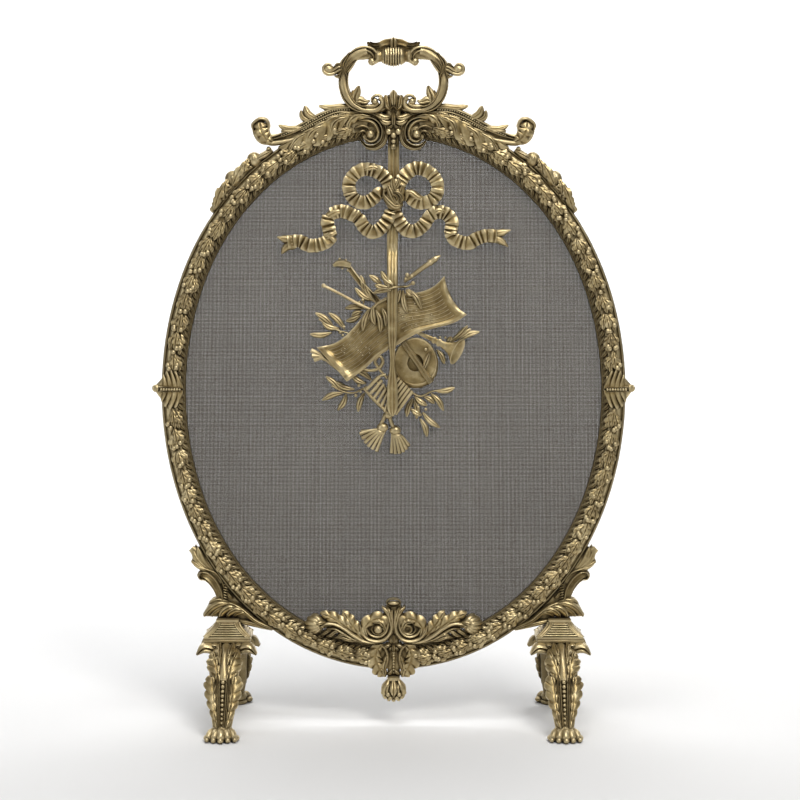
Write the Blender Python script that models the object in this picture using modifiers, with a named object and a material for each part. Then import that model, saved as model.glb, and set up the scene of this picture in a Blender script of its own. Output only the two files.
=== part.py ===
"""Oval fireplace screen in gilt bronze: a standalone Blender 4.5 script, in metres, +Z up.

The screen stands on the floor at Z = 0, centred on the origin, and faces -Y. Left and right are the
viewer's. Outlines and routes are written in millimetres and turned to metres by the helpers.
"""

import math

import bmesh
import bpy
from mathutils import Matrix, Vector

MM = 0.001
GAP = 0.3  # between pieces that touch, in mm

# Oval frame: the sight edge is an ellipse, and everything round it is placed by its distance out from it.
OVAL_A = 230.5  # half width of the sight edge
OVAL_B = 282.5  # half height of the sight edge
OVAL_Z = 369.0  # height of the oval's centre above the floor
BAND = 26.2  # width of the frame moulding
FRONT_Y = -8.0  # the frame's front face
BACK_Y = 6.0  # the frame's back face
RABBET = 5.5  # width of the step in the frame's back that holds the wire cloth
RABBET_Y = 2.0  # how deep that step is cut, as the height of its floor
CHANNEL_IN = 12.0  # the casting is hollow behind: where its channel starts, its outer wall and its floor
CHANNEL_WALL = 2.6
CHANNEL_FLOOR = -3.5
OVAL_STEPS = 56

# Wire cloth and what holds it
CLOTH_THICK = 0.7
BINDING_THICK = 2.6
RETAINER_THICK = 1.6
RETAINER_WIDTH = 11.0
RETAINER_SCREWS = 6
SCREW_RADIUS = 1.5
SCREW_HEAD = 3.2

# Laurel garland laid on the frame's front
GARLAND_IN = 8.0
GARLAND_OUT = 22.5
GARLAND_HIGH = 7.0

# Relief castings laid on the front
CLASP_ANGLE = math.asin(5.5 / OVAL_B)  # the side clasps sit a little above the middle
CLASP_REACH = math.radians(4.6)
RELIEF_Y = FRONT_Y - GAP
RELIEF_FRONT = -20.0
STUD_RADIUS = 2.5
STUD_CLEAR = 0.3
NUT_WIDTH = 8.5
NUT_THICK = 4.0
STUD_END = CHANNEL_FLOOR + NUT_THICK + 2.5

# Legs
LEG_X = 185.0
BLOCK_TOP = 118.0
BLOCK_FOOT = 92.5
HUB_FOOT = 72.5
HUB_HALF = 12.0
BOLT_RADIUS = 2.8
BOLT_TOP = 127.0
FOOT_Y = 91.0
FOOT_SIZE = (39.0, 38.0, 12.0)

# Hanging trophy, counted forward from the wire cloth
STRAP_WIDTH = 12.5
STRAP_THICK = 3.5
STRAP_BACK = 1.0
STRAP_FRONT = -4.5
TRUMPET_Y = -6.6
TASSEL_Y = -3.2
LAYER_MIDDLE = -10.0
LAYER_FRONT = -14.5

GOLD_BRONZE = (0.42, 0.33, 0.17)
DARK_BRONZE = (0.20, 0.15, 0.08)
WIRE_BROWN = (0.16, 0.145, 0.13)
BRASS = (0.50, 0.38, 0.16)
STEEL = (0.30, 0.29, 0.27)


def clear_scene():
    for obj in list(bpy.data.objects):
        bpy.data.objects.remove(obj, do_unlink=True)


def collection(name):
    made = bpy.data.collections.new(name)
    bpy.context.scene.collection.children.link(made)
    return made


def finish(obj, colour, rough=0.35, metal=1.0):
    """Gives obj its own Principled material."""
    mat = bpy.data.materials.new(obj.name)
    mat.use_nodes = True
    shader = mat.node_tree.nodes["Principled BSDF"]
    shader.inputs["Base Color"].default_value = (*colour, 1.0)
    shader.inputs["Roughness"].default_value = rough
    shader.inputs["Metallic"].default_value = metal
    obj.data.materials.clear()
    obj.data.materials.append(mat)
    return obj


def link(name, data, colour=GOLD_BRONZE):
    obj = bpy.data.objects.new(name, data)
    PARTS.objects.link(obj)
    if colour:
        finish(obj, colour)
    return obj


def as_mesh(obj):
    """Replaces a curve, or a mesh with modifiers, by the welded mesh that it evaluates to."""
    bpy.context.view_layer.update()
    graph = bpy.context.evaluated_depsgraph_get()
    mesh = bpy.data.meshes.new_from_object(obj.evaluated_get(graph))
    mesh.transform(obj.matrix_world)
    weld = bmesh.new()
    weld.from_mesh(mesh)
    bmesh.ops.remove_doubles(weld, verts=weld.verts, dist=2e-6)
    bmesh.ops.recalc_face_normals(weld, faces=weld.faces)
    weld.to_mesh(mesh)
    weld.free()
    name = obj.name
    bpy.data.objects.remove(obj, do_unlink=True)
    mesh.name = name
    return link(name, mesh, None)


def boolean(obj, other, operation):
    """Joins other to obj, or cuts it away, for good."""
    step = obj.modifiers.new(operation.lower(), "BOOLEAN")
    step.operation = operation
    step.object = other
    made = as_mesh(obj)
    bpy.data.objects.remove(other, do_unlink=True)
    return made


def join(obj, *others):
    for other in others:
        obj = boolean(obj, other, "UNION")
    return obj


def cut(obj, *others):
    for other in others:
        obj = boolean(obj, other, "DIFFERENCE")
    return obj


def mirrored(points, side):
    """The points as drawn for the viewer's left, or turned over for the right."""
    return [(side * -x, *rest) for x, *rest in points]


def oval_point(angle, out):
    """(x, z) at this angle of the sight ellipse (0 at the viewer's right), moved out from it along its normal."""
    c, s = math.cos(angle), math.sin(angle)
    normal = Vector((c / OVAL_A, s / OVAL_B)).normalized()
    return OVAL_A * c + normal.x * out, OVAL_Z + OVAL_B * s + normal.y * out


def oval_angle(x, z):
    """The angle of the ellipse towards the point (x, z)."""
    return math.atan2((z - OVAL_Z) / OVAL_B, x / OVAL_A)


def oval_arc(start, end, out, steps):
    return [oval_point(start + (end - start) * i / steps, out) for i in range(steps + 1)]


def spline_2d(data, points, closed=True):
    spline = data.splines.new("POLY")
    spline.points.add(len(points) - 1)
    for point, (x, z) in zip(spline.points, points):
        point.co = (x * MM, z * MM, 0.0, 1.0)
    spline.use_cyclic_u = closed


def plate(name, outlines, front, back, colour=GOLD_BRONZE, bevel=0.0):
    """A flat outline in the XZ plane, given a thickness from Y = front to Y = back."""
    data = bpy.data.curves.new(name, "CURVE")
    data.dimensions = "2D"
    data.fill_mode = "BOTH"
    data.extrude = (back - front) / 2 * MM
    for points in outlines:
        spline_2d(data, points)
    obj = link(name, data, None)
    obj.rotation_euler = (math.pi / 2, 0, 0)
    obj.location = (0, (front + back) / 2 * MM, 0)
    made = finish(as_mesh(obj), colour)
    if bevel:
        rounded = made.modifiers.new("edges", "BEVEL")
        rounded.width = bevel * MM
        rounded.segments = 1
        rounded.limit_method = "ANGLE"
        rounded.angle_limit = math.radians(60)
    return made


def smooth_outline(points, steps=3):
    """A closed outline through the points, rounded by a Catmull-Rom curve."""
    count = len(points)
    rounded = []
    for i in range(count):
        p0, p1, p2, p3 = (Vector(points[(i + k) % count]) for k in (-1, 0, 1, 2))
        rounded += [tuple(catmull(p0, p1, p2, p3, j / steps)) for j in range(steps)]
    return rounded


def smooth_route(points, steps=3):
    """An open route through the points, rounded by a Catmull-Rom curve."""
    ends = [Vector(points[0]), *map(Vector, points), Vector(points[-1])]
    rounded = []
    for i in range(1, len(ends) - 2):
        rounded += [tuple(catmull(*ends[i - 1 : i + 3], j / steps)) for j in range(steps)]
    return rounded + [tuple(ends[-1])]


def catmull(p0, p1, p2, p3, t):
    return 0.5 * (
        2 * p1 + (p2 - p0) * t + (2 * p0 - 5 * p1 + 4 * p2 - p3) * t**2 + (3 * p1 - p0 - 3 * p2 + p3) * t**3
    )


def tube(name, route, radius, ends=None, sides=2, colour=GOLD_BRONZE):
    """A round bar along (x, y, z) points. ends gives the radius's share at each point, evenly spread."""
    data = bpy.data.curves.new(name, "CURVE")
    data.dimensions = "3D"
    data.bevel_depth = radius * MM
    data.bevel_resolution = sides
    data.use_fill_caps = True
    spline = data.splines.new("POLY")
    spline.points.add(len(route) - 1)
    shares = ends or [1.0]
    for i, (point, place) in enumerate(zip(spline.points, route)):
        point.co = (*(c * MM for c in place), 1.0)
        at = i / max(1, len(route) - 1) * (len(shares) - 1)
        low = min(int(at), len(shares) - 1)
        high = min(low + 1, len(shares) - 1)
        point.radius = shares[low] + (shares[high] - shares[low]) * (at - low)
    return finish(as_mesh(link(name, data, None)), colour)


def swept(name, route, section, colour=GOLD_BRONZE, closed=False, radii=None):
    """A closed section (across, up) swept along route: a curve with a bevel object."""
    shape = bpy.data.curves.new(name + "_section", "CURVE")
    shape.dimensions = "2D"
    spline_2d(shape, section)
    section_obj = bpy.data.objects.new(name + "_section", shape)
    HELPERS.objects.link(section_obj)
    data = bpy.data.curves.new(name, "CURVE")
    data.dimensions = "3D"
    data.bevel_mode = "OBJECT"
    data.bevel_object = section_obj
    data.use_fill_caps = not closed
    data.twist_mode = "Z_UP"
    spline = data.splines.new("POLY")
    spline.points.add(len(route) - 1)
    for i, (point, place) in enumerate(zip(spline.points, route)):
        point.co = (*(c * MM for c in place), 1.0)
        point.radius = radii[i] if radii else 1.0
    spline.use_cyclic_u = closed
    made = finish(as_mesh(link(name, data, None)), colour)
    bpy.data.objects.remove(section_obj, do_unlink=True)
    return made


def bar_y(name, x, z, radius, front, back, sides=10, colour=STEEL):
    """A round or hexagonal bar along Y."""
    mesh = bpy.data.meshes.new(name)
    shape = bmesh.new()
    turn = Matrix.Rotation(math.pi / 2, 4, "X")
    turn.translation = Vector((x, (front + back) / 2, z)) * MM
    bmesh.ops.create_cone(
        shape,
        cap_ends=True,
        segments=sides,
        radius1=radius * MM,
        radius2=radius * MM,
        depth=(back - front) * MM,
        matrix=turn,
    )
    shape.to_mesh(mesh)
    shape.free()
    return link(name, mesh, colour)


def ball(name, place, radius, squash=(1, 1, 1), colour=GOLD_BRONZE, sides=10):
    mesh = bpy.data.meshes.new(name)
    shape = bmesh.new()
    where = Matrix.Translation(Vector(place) * MM) @ Matrix.Diagonal((*squash, 1))
    bmesh.ops.create_uvsphere(
        shape, u_segments=sides, v_segments=sides * 2 // 3, radius=radius * MM, matrix=where
    )
    shape.to_mesh(mesh)
    shape.free()
    return link(name, mesh, colour)


def box(name, low, high, bevel=0.0, colour=GOLD_BRONZE):
    mesh = bpy.data.meshes.new(name)
    shape = bmesh.new()
    low, high = Vector(low) * MM, Vector(high) * MM
    where = Matrix.Translation((low + high) / 2) @ Matrix.Diagonal((*(high - low), 1))
    bmesh.ops.create_cube(shape, size=1.0, matrix=where)
    shape.to_mesh(mesh)
    shape.free()
    obj = link(name, mesh, colour)
    if bevel:
        rounded = obj.modifiers.new("edges", "BEVEL")
        rounded.width = bevel * MM
        rounded.segments = 2
        obj = as_mesh(obj)
    return obj


def turned(name, profile, origin, axis, sides=12, colour=GOLD_BRONZE):
    """A turned piece: (radius, along) profile round an axis through origin, by a Screw modifier."""
    mesh = bpy.data.meshes.new(name)
    shape = bmesh.new()
    verts = [shape.verts.new((radius * MM, 0, along * MM)) for radius, along in profile]
    for a, b in zip(verts, verts[1:]):
        shape.edges.new((a, b))
    shape.to_mesh(mesh)
    shape.free()
    obj = link(name, mesh, colour)
    spin = obj.modifiers.new("turn", "SCREW")
    spin.steps = spin.render_steps = sides
    spin.use_merge_vertices = True
    spin.merge_threshold = 1e-5
    spin.use_normal_calculate = True
    obj.rotation_mode = "QUATERNION"
    obj.rotation_quaternion = Vector(axis).to_track_quat("Z", "Y")
    obj.location = Vector(origin) * MM
    return as_mesh(obj)


def ring(name, section, colour=GOLD_BRONZE):
    """A section of (out, y) points swept round the whole oval."""
    rounds = [
        [oval_point(2 * math.pi * i / OVAL_STEPS, out) for out, _ in section] for i in range(OVAL_STEPS)
    ]
    return loft(name, rounds, section, colour, closed=True)


def arc_bar(name, section, start, end, steps, colour=GOLD_BRONZE):
    """A section of (out, y) points swept along part of the oval."""
    rounds = [
        [oval_point(start + (end - start) * i / steps, out) for out, _ in section] for i in range(steps + 1)
    ]
    return loft(name, rounds, section, colour, closed=False)


def loft(name, rounds, section, colour, closed):
    """Skin over the section's copies, which follow the oval's normals and not one fixed turn."""
    mesh = bpy.data.meshes.new(name)
    shape = bmesh.new()
    rows = [
        [shape.verts.new((x * MM, y * MM, z * MM)) for (x, z), (_, y) in zip(places, section)]
        for places in rounds
    ]
    for a, b in zip(rows, rows[1:] + rows[:1] if closed else rows[1:]):
        for i in range(len(section)):
            j = (i + 1) % len(section)
            shape.faces.new((a[i], a[j], b[j], b[i]))
    if not closed:
        shape.faces.new(rows[0])
        shape.faces.new(rows[-1])
    bmesh.ops.recalc_face_normals(shape, faces=shape.faces)
    shape.to_mesh(mesh)
    shape.free()
    return link(name, mesh, colour)


def stud(obj, x, z, front, length_back):
    """Joins a threaded stud to the back of a casting."""
    return join(obj, bar_y("stud", x, z, STUD_RADIUS, front, length_back))


def nut(name, x, z, front):
    """A hexagonal nut with its bore, on a stud at (x, z)."""
    body = bar_y(name, x, z, NUT_WIDTH / 2 / math.cos(math.pi / 6), front, front + NUT_THICK, 6)
    made = cut(body, bar_y("bore", x, z, STUD_RADIUS + STUD_CLEAR, front - 2, front + NUT_THICK + 2))
    return finish(made, BRASS)


# ---------------------------------------------------------------- frame and wire cloth


def retainer_screw_angles():
    return [2 * math.pi * (i + 0.5) / RETAINER_SCREWS for i in range(RETAINER_SCREWS)]


def stud_places():
    """Where castings are bolted through the frame: (x, z) of the crest, base and two side clasps."""
    middle = (CHANNEL_IN + BAND - CHANNEL_WALL) / 2
    return {
        "crest": oval_point(math.pi / 2, middle),
        "base": oval_point(-math.pi / 2, middle),
        "clasp_right": oval_point(CLASP_ANGLE, middle),
        "clasp_left": oval_point(math.pi - CLASP_ANGLE, middle),
    }


def frame_ring():
    section = [
        (0.0, -3.0),
        (6.6, -3.0),
        (7.4, FRONT_Y),
        (BAND - 3.4, FRONT_Y),
        (BAND - 0.4, -3.0),
        (BAND, -2.0),
        (BAND, BACK_Y - 1.0),
        (BAND - 1.0, BACK_Y),
        (BAND - CHANNEL_WALL, BACK_Y),
        (BAND - CHANNEL_WALL, CHANNEL_FLOOR),
        (CHANNEL_IN, CHANNEL_FLOOR),
        (CHANNEL_IN, BACK_Y),
        (RABBET, BACK_Y),
        (RABBET, RABBET_Y),
        (0.0, RABBET_Y),
    ]
    obj = ring("frame_ring", section, DARK_BRONZE)
    for x, z in stud_places().values():
        obj = cut(obj, bar_y("hole", x, z, STUD_RADIUS + STUD_CLEAR, FRONT_Y - 2, BACK_Y + 2))
    for angle in retainer_screw_angles():
        x, z = oval_point(angle, RABBET + 2.6)
        obj = cut(obj, bar_y("hole", x, z, SCREW_RADIUS + 0.2, 0.0, BACK_Y + 2, 8))
    return finish(obj, DARK_BRONZE)


def leaf_border():
    section = [(0.2, -3.0 - GAP), (1.0, -5.6), (3.4, -7.0), (5.8, -6.2), (6.2, -3.0 - GAP)]
    return ring("leaf_border", section)


def wire_cloth():
    reach = 3.0
    front = RABBET_Y + GAP + (BINDING_THICK - CLOTH_THICK) / 2
    outline = [oval_point(2 * math.pi * i / OVAL_STEPS, reach) for i in range(OVAL_STEPS)]
    cloth = plate("mesh_panel", [outline], front, front + CLOTH_THICK, WIRE_BROWN)
    finish(cloth, WIRE_BROWN, 0.6, 0.8)
    low, high = RABBET_Y + GAP, RABBET_Y + GAP + BINDING_THICK
    slot_front, slot_back = front - 0.3, front + CLOTH_THICK + 0.3
    section = [
        (0.5, low),
        (RABBET - GAP, low),
        (RABBET - GAP, high),
        (0.5, high),
        (0.5, slot_back),
        (reach + 0.6, slot_back),
        (reach + 0.6, slot_front),
        (0.5, slot_front),
    ]
    ring("mesh_binding", section, BRASS)


def retainer():
    front = BACK_Y + GAP
    section = [
        (0.0, front),
        (RETAINER_WIDTH, front),
        (RETAINER_WIDTH, front + RETAINER_THICK - 0.5),
        (RETAINER_WIDTH - 0.5, front + RETAINER_THICK),
        (0.5, front + RETAINER_THICK),
        (0.0, front + RETAINER_THICK - 0.5),
    ]
    obj = ring("retainer_ring", section, BRASS)
    for angle in retainer_screw_angles():
        x, z = oval_point(angle, RABBET + 2.6)
        obj = cut(obj, bar_y("hole", x, z, SCREW_RADIUS + 0.3, front - 2, front + 4, 8))
    finish(obj, BRASS)
    seat = front + RETAINER_THICK + GAP
    for i, angle in enumerate(retainer_screw_angles()):
        x, z = oval_point(angle, RABBET + 2.6)
        profile = [
            (0.0, 1.8),
            (1.8, 1.5),
            (SCREW_HEAD, 0.5),
            (SCREW_HEAD, 0.0),
            (SCREW_RADIUS, 0.0),
            (SCREW_RADIUS, -5.5),
            (0.0, -6.3),
        ]
        turned(f"retainer_screw_{i + 1}", profile, (x, seat, z), (0, 1, 0), 8, STEEL)


def garlands():
    """Four lengths of half-round laurel garland between the crest, the side clasps and the base."""
    section = [(GARLAND_IN, RELIEF_Y)]
    for i in range(7):
        turn = math.pi * i / 6
        out = (GARLAND_IN + GARLAND_OUT) / 2 - math.cos(turn) * (GARLAND_OUT - GARLAND_IN) / 2
        section.append((out, RELIEF_Y - 0.8 - math.sin(turn) * (GARLAND_HIGH - 0.8)))
    section.append((GARLAND_OUT, RELIEF_Y))
    above = CLASP_ANGLE + CLASP_REACH
    below = CLASP_ANGLE - CLASP_REACH
    crest = oval_angle(121, 634.5)
    base = oval_angle(32, 84.5)
    arc_bar("garland_upper_right", section, above, crest, 10)
    arc_bar("garland_upper_left", section, math.pi - crest, math.pi - above, 10)
    arc_bar("garland_lower_right", section, base, below, 13)
    arc_bar("garland_lower_left", section, -math.pi - below, -math.pi - base, 13)


# ---------------------------------------------------------------- crest and handle

WING = [
    (-35, 670.4), (-44, 675.5), (-54, 682), (-62, 688), (-78, 686.5), (-85, 678.5), (-98, 682.5),
    (-103, 675.5), (-100, 666.5), (-112, 664.5), (-126, 663.5), (-125, 655.5), (-133, 653.5),
    (-138, 656.5), (-137.5, 665.5), (-142, 670.5), (-150, 669.5), (-157, 661.5), (-154, 653.5),
    (-147, 647), (-133, 642.5), (-119, 642), (-110, 646.5), (-99, 644.5), (-88, 649.5), (-76, 645.5),
    (-66, 652.5), (-55, 656.5), (-46, 660.5), (-41, 664),
]  # fmt: skip
CARTOUCHE_HALF = [
    (0, 700.5), (-5, 696.5), (-8.5, 697), (-9, 676.5), (-16, 672), (-25, 673.6), (-33, 670), (-39, 661.5),
    (-41, 650.5), (-36, 641.5), (-26, 637.5), (-15, 640.5), (-9, 646.5), (-5, 640.5),
]  # fmt: skip


def both_halves(half):
    """A whole outline from the left half, which starts and ends near the middle line."""
    start = 1 if half[0][0] == 0 else 0
    return half + [(-x, z) for x, z in reversed(half[start:])]


def crest():
    x, z = stud_places()["crest"]
    obj = plate("crest_cartouche", [both_halves(CARTOUCHE_HALF)], RELIEF_FRONT, RELIEF_Y)
    obj = stud(obj, x, z, RELIEF_Y - 3, STUD_END)
    finish(obj, GOLD_BRONZE)
    nut("crest_nut", x, z, CHANNEL_FLOOR + GAP)
    for side, word in ((-1, "right"), (1, "left")):
        outline = [(side * px, pz) for px, pz in WING]
        plate(f"crest_wing_{word}", [outline], RELIEF_FRONT + 1, RELIEF_Y)


HANDLE_Y = -14.0
HANDLE_RADIUS = 5.4
HANDLE_ROUTE = [
    (-20.5, 688.5), (-25, 692), (-20.5, 696), (-14.5, 691.5), (-15, 683), (-25, 679.3), (-38, 682),
    (-48, 689.5), (-54, 700.5), (-56, 713.5), (-54, 725.5), (-48, 735), (-39, 741), (-28, 742),
    (-23.5, 738.6),
]  # fmt: skip
EAR_ROUTE = [
    (-53, 727.5), (-60, 724), (-67, 721.3), (-72.4, 723.5), (-71.5, 727),
]  # fmt: skip
GRIP_Z = 738.5
CROWN_HALF = [(0, 760), (-10, 757), (-24, 752.5), (-30, 755), (-26, 749.8), (-12, 748.5), (0, 746)]
GRIP_PROFILE = [
    (0.0, -19.4), (5.0, -19.4), (6.4, -15.5), (5.4, -12), (8.0, -8), (10.6, -4), (11.2, 0),
]  # fmt: skip


def handle():
    for side, word in ((1, "left"), (-1, "right")):
        route = [(side * x, HANDLE_Y, z) for x, z in smooth_route(HANDLE_ROUTE[3:], 2)]
        bar = tube(f"handle_scroll_{word}", route, HANDLE_RADIUS, [0.8, 1.0, 1.05, 1.0, 1.0, 1.0, 0.9])
        ear = tube("ear", [(side * x, HANDLE_Y, z) for x, z in EAR_ROUTE], 5.0, [0.9, 0.8, 1.0])
        finish(join(bar, ear), GOLD_BRONZE)
    half = GRIP_PROFILE
    profile = half + [(radius, -along) for radius, along in reversed(half[:-1])]
    obj = turned("handle_grip", profile, (0, HANDLE_Y, GRIP_Z), (1, 0, 0), 12)
    leaf = both_halves(CROWN_HALF)
    finish(join(obj, plate("leaf", [leaf], HANDLE_Y - 6, HANDLE_Y + 6)), GOLD_BRONZE)


FRUIT = [(10.0, 0.97), (6.0, 0.91), (10.0, 0.855), (8.0, 0.785)]  # radius, and angle round the oval


def fruit_sprays():
    """Fruit on a twig along the frame's outer edge, below each end of the crest."""
    for side, word in ((1, "right"), (-1, "left")):
        first, last = FRUIT[0][1], FRUIT[-1][1]
        twig = []
        for i in range(9):
            x, z = oval_point(first + (last - first) * i / 8, BAND + 4.5)
            twig.append((side * x, -5.0, z))
        obj = tube(f"fruit_spray_{word}", twig, 3.4, sides=1)
        for radius, angle in FRUIT:
            x, z = oval_point(angle, BAND + GAP + radius)
            obj = join(obj, ball("fruit", (side * x, -5.2, z), radius, sides=9))
        finish(obj, GOLD_BRONZE)


CLASP = [
    (-237, 395), (-250, 395.5), (-259, 390.5), (-261, 384.5), (-266.5, 379.5), (-267.5, 374.5),
    (-265, 369.5), (-260, 364.5), (-258, 358.5), (-250, 354), (-237, 355.5), (-234, 362.5), (-233.5, 374.5),
    (-234, 387.5),
]  # fmt: skip


def side_clasps():
    places = stud_places()
    for side, word in ((1, "left"), (-1, "right")):
        outline = [(side * x, z) for x, z in CLASP]
        obj = plate(f"side_clasp_{word}", [outline], RELIEF_FRONT + 2, RELIEF_Y)
        x, z = places[f"clasp_{word}"]
        obj = stud(obj, x, z, RELIEF_Y - 3, STUD_END)
        finish(obj, GOLD_BRONZE)
        nut(f"clasp_nut_{word}", x, z, CHANNEL_FLOOR + GAP)


BASE_HALF = [
    (0, 139.5), (-8, 137.5), (-9.5, 132.5), (-14.5, 131.5), (-15, 124.5), (-27, 121.5), (-38, 114.5),
    (-39.5, 103.5), (-33, 94.5), (-24, 89.5), (-27, 85.5), (-30, 78.5), (-31, 67.5), (-27, 60.5), (-18, 59),
    (-10, 54.5), (-8, 50.8),
]  # fmt: skip
BASE_LEAF = [
    (-40, 104), (-40, 111.5), (-50, 121.5), (-54, 130), (-63, 131.5), (-68, 125.5), (-84, 128.5),
    (-88, 123.5), (-97, 121), (-98.5, 116.5), (-96, 109), (-82, 105), (-66, 98), (-50, 93.5), (-37.5, 91),
    (-34.5, 95),
]  # fmt: skip
PENDANT = [
    (0, 50.5), (6.5, 50.5), (7, 48), (11.5, 44.5), (14, 38.5), (12.5, 32.5), (7.5, 27), (0, 25),
]  # fmt: skip


def base():
    x, z = stud_places()["base"]
    obj = plate("base_cartouche", [both_halves(BASE_HALF)], RELIEF_FRONT, RELIEF_Y)
    obj = stud(obj, x, z, RELIEF_Y - 3, STUD_END)
    finish(obj, GOLD_BRONZE)
    nut("base_nut", x, z, CHANNEL_FLOOR + GAP)
    for side, word in ((1, "left"), (-1, "right")):
        plate(f"base_leaf_{word}", [[(side * px, pz) for px, pz in BASE_LEAF]], RELIEF_FRONT + 1, RELIEF_Y)
    turned("base_pendant", PENDANT, (0, RELIEF_Y - 6, 0), (0, 0, 1), 12)


# ---------------------------------------------------------------- legs

BRACKET_OUTER = [
    (-226.5, 195.5), (-228, 184.5), (-226, 177.5), (-217, 174), (-213, 172), (-219, 169.5), (-220.5, 164.5),
    (-217, 160), (-211, 161), (-206, 156.5), (-201, 148.5), (-199, 142), (-206, 137.5), (-212, 129.5),
    (-215, 122), (-207, 119.5), (-200, 118.5), (-170, 118.5), (-160, 112), (-150, 109.5),
]  # fmt: skip


def leg_bracket(side, word):
    """The bracket's inner edge follows the frame's outer edge, a gap away."""
    top = oval_angle(-224, 199.5)
    foot = oval_angle(-142, 106.5)
    inner = oval_arc(2 * math.pi + foot, 2 * math.pi + top, BAND + GAP, 10)
    outline = [(side * x, z) for x, z in BRACKET_OUTER + inner]
    obj = plate(f"leg_bracket_{word}", [outline], -6.0, 5.0, DARK_BRONZE)
    profile = [(0.0, 20), (BOLT_RADIUS + 0.4, 20), (BOLT_RADIUS + 0.4, 0), (0.0, 0)]
    bore = turned("bore", profile, (-side * LEG_X, 0, BOLT_TOP + 1 - 20), (0, 0, 1), 10)
    return finish(cut(obj, bore), DARK_BRONZE)


def leg_block(side, word):
    """A waisted block under the bracket, with a hub below it that the two legs butt against."""
    centre = -side * LEG_X
    half = [(13.5, BLOCK_TOP), (14.5, 111), (19.0, 103.5), (25.0, 98.5), (25.5, BLOCK_FOOT)]
    outline = [(centre - x, z) for x, z in half] + [(centre + x, z) for x, z in reversed(half)]
    obj = plate(f"leg_block_{word}", [outline], -23.0, 23.0)
    low = (centre - 13, -HUB_HALF, HUB_FOOT)
    high = (centre + 13, HUB_HALF, BLOCK_FOOT + 2)
    obj = join(obj, box("hub", low, high, 1.5))
    profile = [(0.0, 60), (BOLT_RADIUS + 0.4, 60), (BOLT_RADIUS + 0.4, 0), (0.0, 0)]
    bore = turned("bore", profile, (centre, 0, HUB_FOOT - 5), (0, 0, 1), 10)
    return finish(cut(obj, bore), GOLD_BRONZE)


def leg_bolt(side, word):
    """The bolt that draws the block up against the bracket, from under the hub."""
    profile = [
        (0.0, BOLT_TOP), (BOLT_RADIUS, BOLT_TOP), (BOLT_RADIUS, HUB_FOOT - GAP), (6.0, HUB_FOOT - GAP),
        (6.0, HUB_FOOT - 3.5), (4.5, HUB_FOOT - 5), (0.0, HUB_FOOT - 5),
    ]  # fmt: skip
    return turned(f"leg_bolt_{word}", profile, (-side * LEG_X, 0, 0), (0, 0, 1), 10, STEEL)


LEG_ROUTE = [(12.3, 81.5), (24, 82.5), (38, 80.5), (50, 73), (59, 62), (67, 47), (75, 31), (83, 16), (88, 7)]
LEG_WIDTH = [15.0, 17, 18.5, 19.5, 20, 19.5, 17, 13, 11.5]
LEG_THICK = [8.0, 8.5, 9, 9, 8.5, 7.5, 6.5, 6.0, 6.0]


def leg(side, word, front):
    """An outward-curving leg: an oval section lofted along its side view, on a paw with a flat sole."""
    way = -1 if front else 1
    name = f"{'front' if front else 'rear'}_leg_{word}"
    mesh = bpy.data.meshes.new(name)
    shape = bmesh.new()
    rows = []
    for i, ((y, z), wide, thick) in enumerate(zip(LEG_ROUTE, LEG_WIDTH, LEG_THICK)):
        before, after = LEG_ROUTE[max(0, i - 1)], LEG_ROUTE[min(len(LEG_ROUTE) - 1, i + 1)]
        along = Vector((after[0] - before[0], after[1] - before[1])).normalized()
        if i == 0:
            along = Vector((1, 0))
        row = []
        for k in range(10):
            turn = 2 * math.pi * k / 10
            across, up = math.cos(turn) * wide, math.sin(turn) * thick
            place = (-side * LEG_X + across, way * (y - along.y * up), z + along.x * up)
            row.append(shape.verts.new(Vector(place) * MM))
        rows.append(row)
    for a, b in zip(rows, rows[1:]):
        for k in range(10):
            shape.faces.new((a[k], a[(k + 1) % 10], b[(k + 1) % 10], b[k]))
    shape.faces.new(rows[0])
    shape.faces.new(rows[-1])
    bmesh.ops.recalc_face_normals(shape, faces=shape.faces)
    shape.to_mesh(mesh)
    shape.free()
    obj = link(name, mesh)
    long, deep, high = FOOT_SIZE
    centre = Vector((-side * LEG_X, way * FOOT_Y, 0))
    low = centre - Vector((long / 2, deep / 2, 0))
    top = centre + Vector((long / 2, deep / 2, high))
    return finish(join(obj, box("paw", low, top, 3.0)), GOLD_BRONZE)


def legs():
    for side, word in ((1, "left"), (-1, "right")):
        leg_bracket(side, word)
        leg_block(side, word)
        leg_bolt(side, word)
        leg(side, word, True)
        leg(side, word, False)


# ---------------------------------------------------------------- hanging trophy


def hanging_strap():
    """A flat strap that hangs from the crest and steps forward over the music sheet. Drawn from the side."""
    front = LAYER_FRONT - GAP
    side_view = [
        (STRAP_BACK, 650.5), (RELIEF_Y + GAP, 650.5), (RELIEF_Y + GAP, 637), (STRAP_FRONT, 632),
        (STRAP_FRONT, 522), (front - STRAP_THICK, 508), (front - STRAP_THICK, 351), (front - 1.2, 345),
        (front, 351), (front, 507), (STRAP_BACK, 521),
    ]  # fmt: skip
    data = bpy.data.curves.new("hanging_strap", "CURVE")
    data.dimensions = "2D"
    data.fill_mode = "BOTH"
    data.extrude = STRAP_WIDTH / 2 * MM
    spline_2d(data, side_view)
    obj = link("hanging_strap", data, None)
    obj.matrix_world = Matrix(((0, 0, 1, 0), (1, 0, 0, 0), (0, 1, 0, 0), (0, 0, 0, 1)))
    finish(as_mesh(obj), GOLD_BRONZE)


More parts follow.
